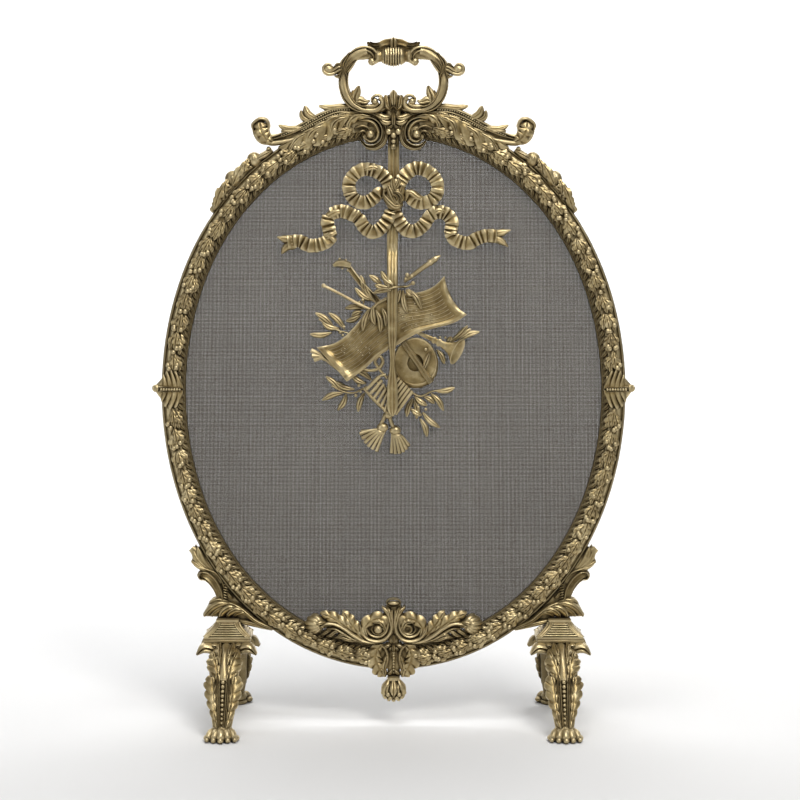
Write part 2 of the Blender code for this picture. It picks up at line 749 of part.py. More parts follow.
LOOP_OUTER = [
    (11.8, 583), (22, 576.5), (36, 574.5), (49, 579.5), (54.5, 592), (52, 608), (43, 620), (30, 624.5),
    (19, 619), (13, 607), (11.8, 595),
]  # fmt: skip
LOOP_HOLE = [(17.5, 591), (27, 586.5), (35.5, 588.5), (39.5, 596), (36.5, 605), (28, 610), (20.5, 605.5)]
TAIL_LEFT = [
    (-14, 566), (-18, 555), (-27, 549), (-36, 554), (-45, 566), (-56, 570.5), (-68, 567.5), (-74, 560),
    (-72, 547), (-79, 535), (-92, 531.5), (-104, 537.5), (-115, 539.5), (-127, 534),
]  # fmt: skip
TAIL_RIGHT = [
    (13, 565), (18, 554), (26, 551), (34, 558), (42, 567.5), (52, 571.5), (61, 567), (64, 556), (66, 545),
    (74, 537.5), (86, 537), (97, 542.5), (110, 544), (126, 541.5),
]  # fmt: skip
KNOT = (585.5, 11.0)  # height and radius


def ribbon(name, route, width, front, back):
    """A flat ribbon with its centreline along route."""
    points = [Vector(p) for p in smooth_route(route, 2)]
    left, right = [], []
    for i, point in enumerate(points):
        along = (points[min(i + 1, len(points) - 1)] - points[max(i - 1, 0)]).normalized()
        normal = Vector((-along.y, along.x)) * width / 2
        left.append(tuple(point + normal))
        right.append(tuple(point - normal))
    return plate(name, [left + right[::-1]], front, back)


def bow():
    """Two loops, a knot and two tails of pleated ribbon in front of the strap."""
    back = STRAP_FRONT - GAP
    for side, word in ((-1, "left"), (1, "right")):
        outlines = [[(side * x, z) for x, z in smooth_outline(loop, 2)] for loop in (LOOP_OUTER, LOOP_HOLE)]
        plate(f"bow_loop_{word}", outlines, back - 6.5, back)
    z, radius = KNOT
    squash = 0.58
    ball("bow_knot", (0, back - radius * squash, z), radius, (1.0, squash, 1.05), sides=12)
    ribbon("bow_tail_left", TAIL_LEFT, 11.5, back - 5, back)
    ribbon("bow_tail_right", TAIL_RIGHT, 11.5, back - 5, back)


MUSIC_SHEET = [
    (-81, 420.5), (-60, 428.5), (-42, 446.5), (-22, 467.5), (-8, 476.5), (8, 480.5), (28, 480.5),
    (44, 487.5), (54, 498.5), (58, 484.5), (65, 469.5), (80, 456.5), (66, 447.5), (40, 441.5),
    (16, 432.5), (4, 420.5), (-14, 415.5), (-28, 402.5), (-40, 392.5), (-50, 384), (-66, 399.5),
    (-88, 406), (-90, 415),
]  # fmt: skip
LUTE = (25.0, 402.0, 23.0)  # bowl's centre x and z, and its radius
LUTE_NECK = [
    (22, 408), (12, 422.5), (-24, 476.5), (-48, 510.5), (-66, 516), (-67, 508), (-53, 503.5), (-33, 472), (3, 416.5), (12, 402),
]  # fmt: skip
TRUMPET = [(-78, 488.5), (-40, 470), (0, 451.5), (40, 432.5), (64, 421)]
BELL = [(56, 428), (67, 425), (79.5, 428.5), (82, 427), (67.5, 396), (65, 397.5), (62, 409), (53, 420.5)]
FLUTE = [(14, 491.5), (30, 506.5), (49, 521)]
PAN_PIPES = [(-32, 374.5), (-12, 388.5), (10, 388.5), (20, 371), (2, 347), (-12, 354.5)]
SPRAYS = {
    "laurel_spray_left": [(-92, 435.5), (-86, 457), (-72, 458), (-56, 447), (-53, 437), (-66, 431)],
    "laurel_spray_right": [(60, 444), (80, 444), (93, 439), (84, 430.5), (60, 431)],
    "laurel_spray_lower_left": [(-77, 386), (-60, 382), (-36, 372), (-30, 357), (-50, 346), (-80, 362)],
    "laurel_spray_lower_right": [(24, 372), (40, 377), (65, 376), (53, 351), (34, 323), (18, 350)],
}  # fmt: skip
SPRAY_TOP = [(-52, 494), (-40, 497), (-15, 503), (14, 499), (20, 491), (4, 484), (-12, 479.5), (-38, 482)]
TASSELS = [(-10, 344, 0.42), (-1.5, 342, -0.34)]  # top x and z, and lean


def music():
    """A sheet of music over a lute, a trumpet, a flute and pan pipes."""
    front, back = LAYER_FRONT, LAYER_MIDDLE - GAP
    plate("music_sheet", [MUSIC_SHEET], front, back)
    x, z, radius = LUTE
    bowl = ball("lute", (x, -5.0, z), radius, (1.0, 0.21, 1.12), sides=14)
    finish(join(bowl, plate("neck", [LUTE_NECK], -2.8, STRAP_BACK)), GOLD_BRONZE)
    pipe = tube("trumpet", [(px, TRUMPET_Y, pz) for px, pz in TRUMPET], 2.6, [0.9, 1.0, 1.0, 1.1, 1.6], 1)
    bell = plate("bell", [BELL], TRUMPET_Y - 3.4, TRUMPET_Y + 3.4)
    finish(join(pipe, bell), GOLD_BRONZE)
    tube("flute", [(px, -4.5, pz) for px, pz in FLUTE], 3.0, [1.0, 0.9, 0.7], sides=1)
    plate("pan_pipes", [PAN_PIPES], front, front + 4.0)


def laurel_sprays():
    for name, outline in SPRAYS.items():
        plate(name, [smooth_outline(outline, 2)], -3.5, STRAP_BACK)
    plate("laurel_spray_top", [smooth_outline(SPRAY_TOP, 2)], LAYER_FRONT, LAYER_FRONT + 3.0)


def tassels():
    """Two tassels on one knotted cord, cast as one piece."""
    obj = None
    for x, z, lean in TASSELS:
        profile = [
            (0.0, 6), (2.6, 5), (3.0, 0), (4.6, -5), (5.6, -10), (4.6, -14), (8.5, -26), (10.5, -34),
            (0.0, -35),
        ]  # fmt: skip
        one = turned("tassels", profile, (x, 0, z), (lean, 0, 1), 10)
        one.data.transform(Matrix.Translation((0, TASSEL_Y * MM, 0)) @ Matrix.Diagonal((1, 0.5, 1, 1)))
        obj = join(obj, one) if obj else one
    knot = ball("knot", (-6, TASSEL_Y - 2.2, 346), 7.0, (1.0, 0.66, 0.8))
    finish(join(obj, knot), GOLD_BRONZE)


PARTS = None
HELPERS = None


def main():
    global PARTS, HELPERS
    clear_scene()
    PARTS = collection("fireplace_screen")
    HELPERS = collection("helpers")
    frame_ring()
    leaf_border()
    wire_cloth()
    retainer()
    garlands()
    crest()
    handle()
    fruit_sprays()
    side_clasps()
    base()
    legs()
    hanging_strap()
    bow()
    music()
    laurel_sprays()
    tassels()


main()
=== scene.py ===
"""Looks for the oval bronze fireplace screen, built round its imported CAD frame.

Shapes are drawn in millimetres and turned to metres as each piece is made. The screen faces -Y.
Most castings are relief: strokes with a cross-section, laid along a route on a surface. A surface is a
function that takes two coordinates and a height off it, and gives points in space.
"""

import math
import random

import bmesh
import bpy
import numpy as np
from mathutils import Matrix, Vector


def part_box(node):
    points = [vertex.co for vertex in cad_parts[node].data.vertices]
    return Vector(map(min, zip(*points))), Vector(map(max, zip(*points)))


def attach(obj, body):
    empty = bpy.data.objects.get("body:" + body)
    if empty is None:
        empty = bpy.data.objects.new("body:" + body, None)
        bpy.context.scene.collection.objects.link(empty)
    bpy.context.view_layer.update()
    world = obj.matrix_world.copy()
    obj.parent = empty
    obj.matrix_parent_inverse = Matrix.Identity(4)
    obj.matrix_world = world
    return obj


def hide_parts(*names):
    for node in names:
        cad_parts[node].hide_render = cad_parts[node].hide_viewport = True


MM = 0.001
BAND = 26.2  # width of the oval frame
SWELL = 0.8  # the visual oval is this much larger all round than the CAD ellipse,
FULLNESS = 1.5  # and this much more on its diagonals
RELIEF_Y = -8.3  # the plane that the front castings lie on
HANDLE_Y = -14.0  # the handle's middle plane
GRIP_Z = 738.5
LEG_X = 185.0  # from the middle to each pair of legs
EYE_Z = 508.5  # the camera's height, and its distance from the middle plane and from the frame's face
EYE_FAR = 2106
FACE_FAR = 2094
WIRE_PITCH = 1.5
WIRE_RADIUS = 0.6
BUNDLE = 22  # length of one bundle of the laurel garland
BORDER_LEAF = 7.6  # pitch of the small leaves along the sight edge


# ---------------------------------------------------------------- shape tools


class Clay:
    """Collects closed shapes, in millimetres, that become one piece."""

    def __init__(self):
        self.points = []
        self.faces = []
        self.count = 0

    def add(self, points, faces):
        """Adds points, with faces that count from the first of them."""
        points = np.asarray(points, float).reshape(-1, 3)
        self.faces += [[i + self.count for i in face] for face in faces]
        self.points.append(points)
        self.count += len(points)

    def skin(self, rings):
        """Closes a stack of rings, shaped (rings, points in a ring, 3), with a cap at each end."""
        n, m = rings.shape[:2]
        index = np.arange(n * m).reshape(n, m)
        a, b = index[:-1], index[1:]
        quads = np.stack([a, np.roll(a, -1, 1), np.roll(b, -1, 1), b], -1).reshape(-1, 4)
        self.add(rings, [*quads.tolist(), index[0][::-1].tolist(), index[-1].tolist()])

    def loop(self, rings):
        """As skin, but the last ring joins the first."""
        n, m = rings.shape[:2]
        index = np.arange(n * m).reshape(n, m)
        b = np.roll(index, -1, 0)
        quads = np.stack([index, np.roll(index, -1, 1), np.roll(b, -1, 1), b], -1)
        self.add(rings, quads.reshape(-1, 4).tolist())

    def also(self, other, flip_x=False):
        """Adds another Clay's shapes, mirrored left to right where flip_x is true."""
        points = np.concatenate(other.points)
        self.add(points * [-1, 1, 1] if flip_x else points, other.faces)


def smooth(path, steps):
    """steps + 1 points, evenly spaced along a Catmull-Rom curve through path."""
    path = np.asarray(path, float)
    if len(path) == 2:
        fine = np.linspace(path[0], path[1], 9)
    else:
        ends = np.vstack([2 * path[0] - path[1], path, 2 * path[-1] - path[-2]])
        fine = []
        for i in range(len(path) - 1):
            p0, p1, p2, p3 = ends[i : i + 4]
            for t in np.arange(8) / 8:
                bend = (2 * p0 - 5 * p1 + 4 * p2 - p3) * t * t
                twist = (3 * p1 - p0 - 3 * p2 + p3) * t**3
                fine.append(0.5 * (2 * p1 + (p2 - p0) * t + bend + twist))
        fine = np.array([*fine, path[-1]])
    along = np.concatenate([[0], np.cumsum(np.linalg.norm(np.diff(fine, axis=0), axis=1))])
    at = np.linspace(0, along[-1], steps + 1)
    return np.stack([np.interp(at, along, fine[:, k]) for k in range(fine.shape[1])], 1)


def spread(values, count):
    """values, spread evenly over count stations."""
    values = np.atleast_1d(np.asarray(values, float))
    return np.interp(np.linspace(0, 1, count), np.linspace(0, 1, len(values)), values)


def unit(vectors):
    return vectors / np.maximum(np.linalg.norm(vectors, axis=1, keepdims=True), 1e-9)


def directions(points):
    """The direction of travel at each point of a route."""
    return unit(np.gradient(points, axis=0))


def leftward(along):
    """A quarter turn to the left of each flat direction."""
    return np.stack([-along[:, 1], along[:, 0]], 1)


def around(count):
    """count angles, spaced evenly round a full turn."""
    return np.linspace(0, 2 * np.pi, count, endpoint=False)


def mirrored(path, side):
    """A flat path as drawn on the right (side 1), or its mirror image on the left (side -1)."""
    return [(side * x, z) for x, z in path]


# The height of a stroke's cross-section, from edge (v = -1) to edge (v = 1), and its points across.
SECTIONS = {
    "round": lambda v: np.sqrt(np.clip(1 - v * v, 0, 1)),
    "leaf": lambda v: np.clip(1 - v * v, 0, 1) ** 0.45 * (1 - 0.34 * np.exp(-((v / 0.14) ** 2))),
    "petal": lambda v: np.clip(1 - v * v, 0, 1) ** 0.48 * (1 - 0.13 * np.exp(-((v / 0.16) ** 2))),
    "channel": lambda v: (1 - v**12) * (0.25 + 0.75 * np.exp(-(((np.abs(v) - 0.7) / 0.22) ** 2))),
    "keel": lambda v: (1 - np.abs(v)) ** 0.9,
    "flat": lambda v: 1 - v**10,
    "hollow": lambda v: (1 - v**14) * (0.3 + 0.7 * v * v),
}
ACROSS = {"round": 7, "leaf": 11, "petal": 11, "channel": 11, "keel": 5, "flat": 7, "hollow": 9}


def stroke(clay, surface, path, wide, high, lift=0.0, section="round", steps=12, thick=0.8, both=False):
    """A tapering strip of relief along a route: half-widths, heights and lifts are spread along it.

    Its back is flat, or a copy of its front where both is true.
    """
    route = smooth(path, steps)
    count = len(route)
    along = directions(route)
    normal = leftward(along)
    wide, high, lift = spread(wide, count), spread(high, count), spread(lift, count)
    v = np.linspace(-1, 1, ACROSS[section])
    if section == "leaf":
        v = np.sign(v) * np.abs(v) ** 1.25
    profile = SECTIONS[section](v)
    flat = route[:, None, :] + normal[:, None, :] * (wide[:, None] * v)[..., None]
    front = lift[:, None] + high[:, None] * profile
    if both:
        flat = np.concatenate([flat, flat[:, -2:0:-1]], 1)
        height = np.concatenate([front, 2 * lift[:, None] - front[:, -2:0:-1] - thick], 1)
        clay.skin(surface(flat[..., 0], flat[..., 1], height))
    else:
        backed(clay, surface, route, flat, front, lift - thick, 0.08)


def backed(clay, surface, route, flat, front, back, tuck):
    """A strip of relief closed by a flat back, whose edges are tucked in towards the route."""
    edges = flat[:, [-1, 0]] * (1 - tuck) + route[:, None, :] * tuck
    flat = np.concatenate([flat, edges], 1)
    height = np.concatenate([front, np.repeat(back[:, None], 2, 1)], 1)
    clay.skin(surface(flat[..., 0], flat[..., 1], height))


def tube(clay, path, radii, steps=16, sides=10):
    """A round bar along a route in space, with rounded ends."""
    route = smooth(path, steps)
    along = directions(route)
    normal = np.zeros_like(route)
    normal[:1] = unit(np.cross(along[:1], [0.3, 1, 0.2]))
    for i in range(1, len(route)):
        side = normal[i - 1] - along[i] * np.dot(normal[i - 1], along[i])
        normal[i] = side / np.linalg.norm(side)
    other = np.cross(along, normal)
    radii = spread(radii, len(route))
    turn = around(sides)
    ring = normal[:, None, :] * np.cos(turn)[:, None] + other[:, None, :] * np.sin(turn)[:, None]
    rings = [route[0] + ring[0] * radii[0] * 0.55 - along[0] * radii[0] * 0.35]
    rings += [route[i] + ring[i] * radii[i] for i in range(len(route))]
    rings += [route[-1] + ring[-1] * radii[-1] * 0.55 + along[-1] * radii[-1] * 0.35]
    clay.skin(np.array(rings))


def lathe(clay, profile, origin, axis=(0, 0, 1), sides=20, ribs=0, rib_depth=0.0, squash=(1, 1, 1)):
    """A turned shape: (radius, along) pairs round an axis, with ribs scalloped round it."""
    axis = Vector(axis).normalized()
    side = axis.orthogonal().normalized()
    if abs(axis.z) > 0.9:
        side = Vector((1, 0, 0))
    other = axis.cross(side)
    turn = around(sides)
    wave = 1 - rib_depth * (1 - np.abs(np.cos(ribs * turn / 2))) if ribs else np.ones(sides)
    circle = np.outer(np.cos(turn) * wave, side) + np.outer(np.sin(turn) * wave, other)
    rings = np.array([circle * max(r, 0.02) + np.array(axis) * t for r, t in profile])
    clay.skin(rings * np.array(squash) + np.array(origin))


def ball(clay, centre, radius, squash=(1, 1, 1), sides=12, ribs=0, rib_depth=0.0):
    """A ball or an egg, with its poles up and down."""
    half = sides // 2 + 1
    turn = np.linspace(0, np.pi, half)
    profile = [(radius * math.sin(t), -radius * math.cos(t)) for t in turn]
    lathe(clay, profile, centre, (0, 0, 1), sides, ribs, rib_depth, squash)


def beads(clay, surface, path, pitch, radius, lift=0.0):
    """Beads along a route on a surface; radius is spread along it."""
    length = np.linalg.norm(np.diff(smooth(path, 30), axis=0), axis=1).sum()
    count = max(1, int(length / pitch))
    route = smooth(path, count)
    radii = spread(radius, len(route))
    for (a, b), r in zip(route, radii):
        centre = surface(np.array([[a]]), np.array([[b]]), np.array([[lift + r * 0.35]]))[0, 0]
        ball(clay, centre, r, sides=12)


def relief(y, dx=0.0):
    """The surface of a casting that lies on the plane Y = y; drawings on it are moved by dx."""
    return lambda a, b, h: np.stack([a + dx, y - h, b], -1)


LOBE_WIDTH = [0.35, 0.62, 0.85, 0.97, 1.0, 0.98, 0.9, 0.7, 0.28]
LOBE_HEIGHT = [0.55, 0.8, 0.95, 1.0, 1.0, 0.97, 0.9, 0.75, 0.45]


def lobe(clay, surface, path, wide, high, lift=0.0, section="petal", steps=14, thick=2.5):
    """A broad leaf lobe with a rounded tip."""
    widths = [wide * share for share in LOBE_WIDTH]
    stroke(clay, surface, path, widths, [high * share for share in LOBE_HEIGHT], lift, section, steps, thick)


def acanthus(
    clay, surface, path, left, right, teeth, high, lift=0.0, sweep=0.5, steps=7, thick=3.0, groove=1.5,
):
    """A broad leaf with rounded lobes swept towards its tip along both edges, and a grooved midrib.

    left and right say how far the leaf reaches either side of the rib, spread along it.
    """
    route = smooth(path, teeth * steps)
    count = len(route)
    along = directions(route)
    normal = leftward(along)
    v = np.linspace(-1, 1, 15)
    reach = np.where(v > 0, spread(left, count)[:, None], spread(right, count)[:, None])
    beat = np.abs(np.sin(np.pi * teeth * np.linspace(0, 1, count)))[:, None] ** 0.6
    side = reach * v * (1 - 0.34 * (1 - beat) * v * v)
    ahead = sweep * np.abs(v) ** 1.5 * reach
    flat = route[:, None, :] + normal[:, None, :] * side[..., None] + along[:, None, :] * ahead[..., None]
    lift = spread(lift, count)
    front = lift[:, None] + spread(high, count)[:, None] * (1 - 0.36 * v * v)
    front = front + groove * (beat - 0.8) * np.abs(v) ** 0.6 - 0.9 * np.exp(-((v / 0.11) ** 2))
    backed(clay, surface, route, flat, front, lift - thick, 0.06)


# ---------------------------------------------------------------- the oval


def make_oval():
    """The sight ellipse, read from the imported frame: half-width, half-height and centre height, in mm."""
    low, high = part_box("frame_ring")
    return (high.x / MM) - BAND, (high.z - low.z) / 2 / MM - BAND, (high.z + low.z) / 2 / MM


def oval_points(angle, out):
    """x and z at these angles of the sight ellipse, moved out along its normal."""
    a, b, centre = OVAL
    c, s = np.cos(angle), np.sin(angle)
    nx, nz = c / a, s / b
    size = np.hypot(nx, nz)
    out = out + SWELL + FULLNESS * np.sin(2 * angle) ** 2
    return a * c + nx / size * out, centre + b * s + nz / size * out


def make_gauge():
    """Arc length along the middle of the band, from the top down the viewer's left, against angle."""
    angle = np.linspace(math.pi / 2, 3 * math.pi / 2, 2001)
    x, z = oval_points(angle, BAND * 0.55)
    return np.concatenate([[0], np.cumsum(np.hypot(np.diff(x), np.diff(z)))]), angle


def band(side, y=RELIEF_Y):
    """A surface on the band: distance down from the top, and distance out from the sight edge."""

    def place(s, out, height):
        x, z = oval_points(np.interp(s, *GAUGE), out)
        return np.stack([-side * x, y - height, z], -1)

    return place


def ring_shape(clay, section, steps=420):
    """A section of (out, y) points carried round the whole oval."""
    angle = around(steps)
    rings = []
    for out, y in section:
        x, z = oval_points(angle, out)
        rings.append(np.stack([x, np.full_like(x, y), z], -1))
    clay.loop(np.stack(rings, 1))


# ---------------------------------------------------------------- materials


class Look:
    """A procedural material while its nodes are being joined up."""

    def __init__(self, name, metallic=0.0, rough=0.5):
        self.material = bpy.data.materials.new(name)
        self.material.use_nodes = True
        self.nodes = self.material.node_tree.nodes
        self.links = self.material.node_tree.links
        self.nodes.clear()
        output = self.nodes.new("ShaderNodeOutputMaterial")
        self.shader = self.nodes.new("ShaderNodeBsdfPrincipled")
        self.shader.inputs["Metallic"].default_value = metallic
        self.shader.inputs["Roughness"].default_value = rough
        self.links.new(self.shader.outputs[0], output.inputs[0])

    def feed(self, name, source):
        """Joins source to one of the shader's inputs."""
        self.links.new(source, self.shader.inputs[name])

    def ramp(self, source, stops):
        """A colour ramp fed by source; stops are (place, colour or grey value)."""
        made = self.nodes.new("ShaderNodeValToRGB")
        self.links.new(source, made.inputs[0])
        elements = made.color_ramp.elements
        while len(elements) < len(stops):
            elements.new(0.5)
        for element, (place, colour) in zip(elements, stops):
            element.position = place
            element.color = (*colour, 1) if isinstance(colour, tuple) else (colour, colour, colour, 1)
        return made.outputs[0]

    def mixed(self, kind, share, a, b):
        """a and b mixed; share, a and b are each a socket or a value."""
        node = self.nodes.new("ShaderNodeMix")
        node.data_type = "RGBA"
        node.blend_type = kind
        for socket, value in ((node.inputs[0], share), (node.inputs[6], a), (node.inputs[7], b)):
            if isinstance(value, bpy.types.NodeSocket):
                self.links.new(value, socket)
            elif isinstance(value, tuple):
                socket.default_value = (*value, 1)
            else:
                socket.default_value = value
        return node.outputs[2]

    def noise(self, scale, detail=6.0, rough=0.6, stretch=None):
        """Noise in the object's own metres, drawn out along some axes where stretch is given."""
        place = self.nodes.new("ShaderNodeTexCoord").outputs["Object"]
        if stretch:
            mapping = self.nodes.new("ShaderNodeMapping")
            mapping.inputs["Scale"].default_value = stretch
            self.links.new(place, mapping.inputs[0])
            place = mapping.outputs[0]
        made = self.nodes.new("ShaderNodeTexNoise")
        made.inputs["Scale"].default_value = scale
        made.inputs["Detail"].default_value = detail
        made.inputs["Roughness"].default_value = rough
        self.links.new(place, made.inputs["Vector"])
        return made.outputs[0]


def aged_metal(name, dark, middle, bright, grime_and_shade_colour, rough=(0.3, 0.5)):
    """Worn metal: recesses darkened towards one colour that stands for grime and for painted shade, rubbed
    metal on the raised edges, and a cloudy patina.
    """
    look = Look(name, metallic=0.9)
    cloud = look.ramp(look.noise(55), [(0.35, dark), (0.55, middle), (0.75, bright)])
    edges = look.nodes.new("ShaderNodeNewGeometry").outputs["Pointiness"]
    rubbed = look.ramp(edges, [(0.5, 0.0), (0.56, 0.65)])
    metal = look.mixed("MIX", rubbed, cloud, bright)
    # Ambient occlusion finds the recesses, which are darkened: partly real grime, partly painted shade.
    shade = look.nodes.new("ShaderNodeAmbientOcclusion")
    shade.samples = 4
    shade.inputs["Distance"].default_value = 4 * MM
    recess_grime_and_shade = look.ramp(shade.outputs["AO"], [(0.38, 1.0), (0.86, 0.0)])
    patch = look.ramp(look.noise(210), [(0.3, 0.55), (0.62, 1.0)])
    grime_and_shade_amount = look.mixed("MULTIPLY", 1.0, recess_grime_and_shade, patch)
    look.feed("Base Color", look.mixed("MIX", grime_and_shade_amount, metal, grime_and_shade_colour))
    wear = look.ramp(look.noise(140), [(0.3, rough[0]), (0.7, rough[1])])
    look.feed("Roughness", look.mixed("MIX", grime_and_shade_amount, wear, (0.8, 0.8, 0.8)))
    bump = look.nodes.new("ShaderNodeBump")
    bump.inputs["Strength"].default_value = 0.35
    bump.inputs["Distance"].default_value = 0.4 * MM
    look.links.new(look.noise(420, 8.0, 0.7), bump.inputs["Height"])
    look.feed("Normal", bump.outputs[0])
    return look.material


def wire_metal():
    """Tarnished wire, with threads and patches that are lighter or browner than the rest."""
    look = Look("tarnished_wire", metallic=0.35, rough=0.62)
    across = look.noise(60, 3.0, 0.5, (0.25, 1.0, 12.0))
    down = look.noise(60, 3.0, 0.5, (12.0, 1.0, 0.25))
    threads = look.mixed("MIX", 0.5, across, down)
    base = look.ramp(threads, [(0.3, (0.078, 0.066, 0.049)), (0.7, (0.114, 0.098, 0.075))])
    cloudy = look.ramp(look.noise(7, 4.0), [(0.3, (0.62, 0.56, 0.50)), (0.7, (1.0, 1.0, 1.0))])
    look.feed("Base Color", look.mixed("MULTIPLY", 0.5, base, cloudy))
    return look.material


# ---------------------------------------------------------------- making pieces


def piece(name, clay, finish, *nodes, sharp=38.0):
    """One object from clay, standing for these CAD nodes. finish is a material and a slot of the record; the
    slot is not used.
    """
    material, slot = finish
    mesh = bpy.data.meshes.new(name)
    mesh.from_pydata((np.concatenate(clay.points) * MM).tolist(), [], clay.faces)
    shape = bmesh.new()
    shape.from_mesh(mesh)
    bmesh.ops.recalc_face_normals(shape, faces=shape.faces)
    shape.to_mesh(mesh)
    shape.free()
    mesh.polygons.foreach_set("use_smooth", [True] * len(mesh.polygons))
    mesh.set_sharp_from_angle(angle=math.radians(sharp))
    obj = bpy.data.objects.new(name, mesh)
    bpy.context.scene.collection.objects.link(obj)
    obj.data.materials.append(material)
    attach(obj, "root")
    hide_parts(*nodes)
    return obj


def pair(name, clay, finish, *nodes):
    """The left piece and its mirror image. A CAD node's name ends in _left or _right as well."""
    for word, flip in (("left", False), ("right", True)):
        copy = Clay()
        copy.also(clay, flip)
        piece(f"{name}_{word}_cast", copy, finish, *[f"{node}_{word}" for node in nodes])


# ---------------------------------------------------------------- oval frame and wire cloth


# Sections of the rings, as (distance out from the sight edge, y). The frame's goes from the sight edge
# over the front and back round the hollow behind it.
FRAME_SECTION = [
    (0.0, 2.0), (0.0, -2.6), (0.6, -3.4), (1.5, -3.4), (2.0, -3.0), (6.2, -3.0), (6.9, -6.4), (8.0, -8.0),
    (21.6, -8.0), (22.2, -7.1), (22.8, -7.3), (23.4, -8.2), (24.3, -8.1), (25.0, -6.8), (25.3, -6.0),
    (25.9, -4.6), (26.2, -2.8), (26.2, 4.8), (25.4, 6.0), (23.6, 6.0), (23.6, -3.5), (12.0, -3.5),
    (12.0, 6.0), (5.5, 6.0), (5.5, 2.0),
]
BINDING_SECTION = [
    (0.5, 2.3), (5.2, 2.3), (5.2, 4.9), (0.9, 4.9), (0.5, 4.6), (0.5, 4.2), (3.6, 4.2), (3.6, 3.0),
    (0.5, 3.0),
]
STRIP_SECTION = [(0.0, 6.3), (11.0, 6.3), (11.0, 7.4), (10.5, 7.9), (0.6, 7.9), (0.0, 7.4)]


def border_leaves():
    """The sight edge's moulding, with small slanting leaves all the way down both sides."""
    clay = Clay()
    ring_shape(clay, [(1.8, -3.0), (2.2, -3.8), (3.6, -3.8), (5.6, -3.8), (6.6, -4.6), (6.9, -3.0)])
    total = GAUGE[0][-1]
    count = round(total / BORDER_LEAF)
    pitch = total / count
    for side in (-1, 1):
        surface = band(side, -5.4)
        for k in range(count):
            s = k * pitch
            stroke(
                clay, surface, [(s - 1.6, 8.0), (s + 2.6, 6.0), (s + 5.4, 3.6), (s + 7.0, 1.2)],
                [1.0, 2.2, 2.6, 2.5, 1.9, 0.5], [2.6, 4.6, 5.0, 4.6, 3.6, 2.0], 0, "leaf", 10,
            )
    return clay


def laurel_bundle(clay, surface, s, rng):
    """Lobed leaves fanned over one another, with berries between their tips."""
    for lane, out, turn, long, high in (
        (-1, 9.8, -0.26, 21, 2.6), (1, 16.6, 0.20, 21, 2.6), (-1, 11.6, -0.26, 22, 4.2),
        (1, 15.2, 0.22, 22, 4.0), (0, 13.4, 0.0, 23, 5.6),
    ):
        aim = turn + rng.uniform(-0.16, 0.16)
        start = s + rng.uniform(-2.6, 2.6) + (1.0 if lane == 0 else 3.0)
        long *= rng.uniform(0.86, 1.08)
        ahead, aside = math.cos(aim), math.sin(aim)
        root = (start, out - lane * 1.6)
        mid = (start + long * 0.5 * ahead, out + long * 0.34 * aside)
        tip = (start + long * ahead, out + long * 0.5 * aside)
        wide = rng.uniform(3.7, 4.6)
        reach = [1.0, wide * 0.8, wide, wide * 0.86, wide * 0.5, 0.5]
        lift = [high - 3.2, high - 2.0, high - 1.2, high - 1.8]
        acanthus(
            clay, surface, [root, mid, tip], reach, reach, 3, [1.6, 2.8, 2.6, 1.4], lift, 0.5, 7, 3.0, 1.3,
        )
    for ahead, out, r in (
        (17.5, 8.0, 2.7), (20.6, 10.4, 2.9), (21.0, 16.8, 2.7), (18.2, 18.8, 2.6), (22.4, 13.6, 2.7),
    ):
        ahead += rng.uniform(-2.2, 2.2)
        out += rng.uniform(-1.0, 1.0)
        if rng.random() < 0.62:
            beads(clay, surface, [(s + ahead, out), (s + ahead + 0.2, out)], 9, r, rng.uniform(3.4, 5.4))


def garland(side, start, end):
    """A quarter of the laurel garland, between two distances down from the top of the oval."""
    clay = Clay()
    rng = random.Random(7 + side + int(start))
    surface = band(side)
    count = round((end - start) / BUNDLE)
    for k in range(count):
        laurel_bundle(clay, surface, start + (end - start) * k / count, rng)
    stem = [(start + (end - start) * share, 14.2) for share in (0, 0.25, 0.5, 1)]
    stroke(clay, surface, stem, [6.0], [0.8], 0, "round", 60)
    return clay


def wire_cloth():
    """Two layers of fine wire, upright in front of level, cut to an oval. Each wire wanders a little."""
    clay = Clay()
    rng = random.Random(3)
    a, b, centre = OVAL
    for half, other, upright in ((b, a, False), (a, b, True)):
        count = int((half + 2.5) / WIRE_PITCH)
        for k in range(-count, count + 1):
            at = k * WIRE_PITCH + rng.uniform(-0.05, 0.05)
            reach = (other + 2.6) * math.sqrt(max(0.0, 1 - (at / (half + 2.8)) ** 2))
            if reach < 4:
                continue
            radius = WIRE_RADIUS * rng.uniform(0.96, 1.04)
            stations = max(3, int(reach / 9))
            along = np.linspace(-reach, reach, stations)
            drift = at + np.cumsum([rng.uniform(-0.004, 0.004) for _ in along])
            y = (3.42 if upright else 3.78) + np.array([rng.uniform(-0.04, 0.04) for _ in along])
            rings = np.zeros((stations, 5, 3))
            rings[..., 0 if upright else 2] = drift[:, None] + radius * np.cos(around(5))
            rings[..., 1] = y[:, None] + radius * 0.55 * np.sin(around(5))
            rings[..., 2 if upright else 0] = along[:, None]
            rings[..., 2] += centre
            clay.skin(rings)
    return clay


def ring_piece(name, section, finish, node):
    """A piece that is one section carried round the oval."""
    clay = Clay()
    ring_shape(clay, section)
    piece(name, clay, finish, node)


def build_frame(gilt, dark, wire, brass):
    ring_piece("frame_casting", FRAME_SECTION, dark, "frame_ring")
    piece("border_leaves", border_leaves(), gilt, "leaf_border")
    half_way = GAUGE[0][-1] * 0.5
    for side, word in ((-1, "left"), (1, "right")):
        upper = garland(side, 44, half_way - 26)
        piece(f"upper_laurel_{word}", upper, gilt, f"garland_upper_{word}")
        lower = garland(side, half_way + 16, 2 * half_way - 26)
        piece(f"lower_laurel_{word}", lower, gilt, f"garland_lower_{word}")
    piece("wire_weave", wire_cloth(), wire, "mesh_panel", sharp=80)
    ring_piece("cloth_binding", BINDING_SECTION, brass, "mesh_binding")
    ring_piece("retaining_strip", STRIP_SECTION, brass, "retainer_ring")


# ---------------------------------------------------------------- crest and handle


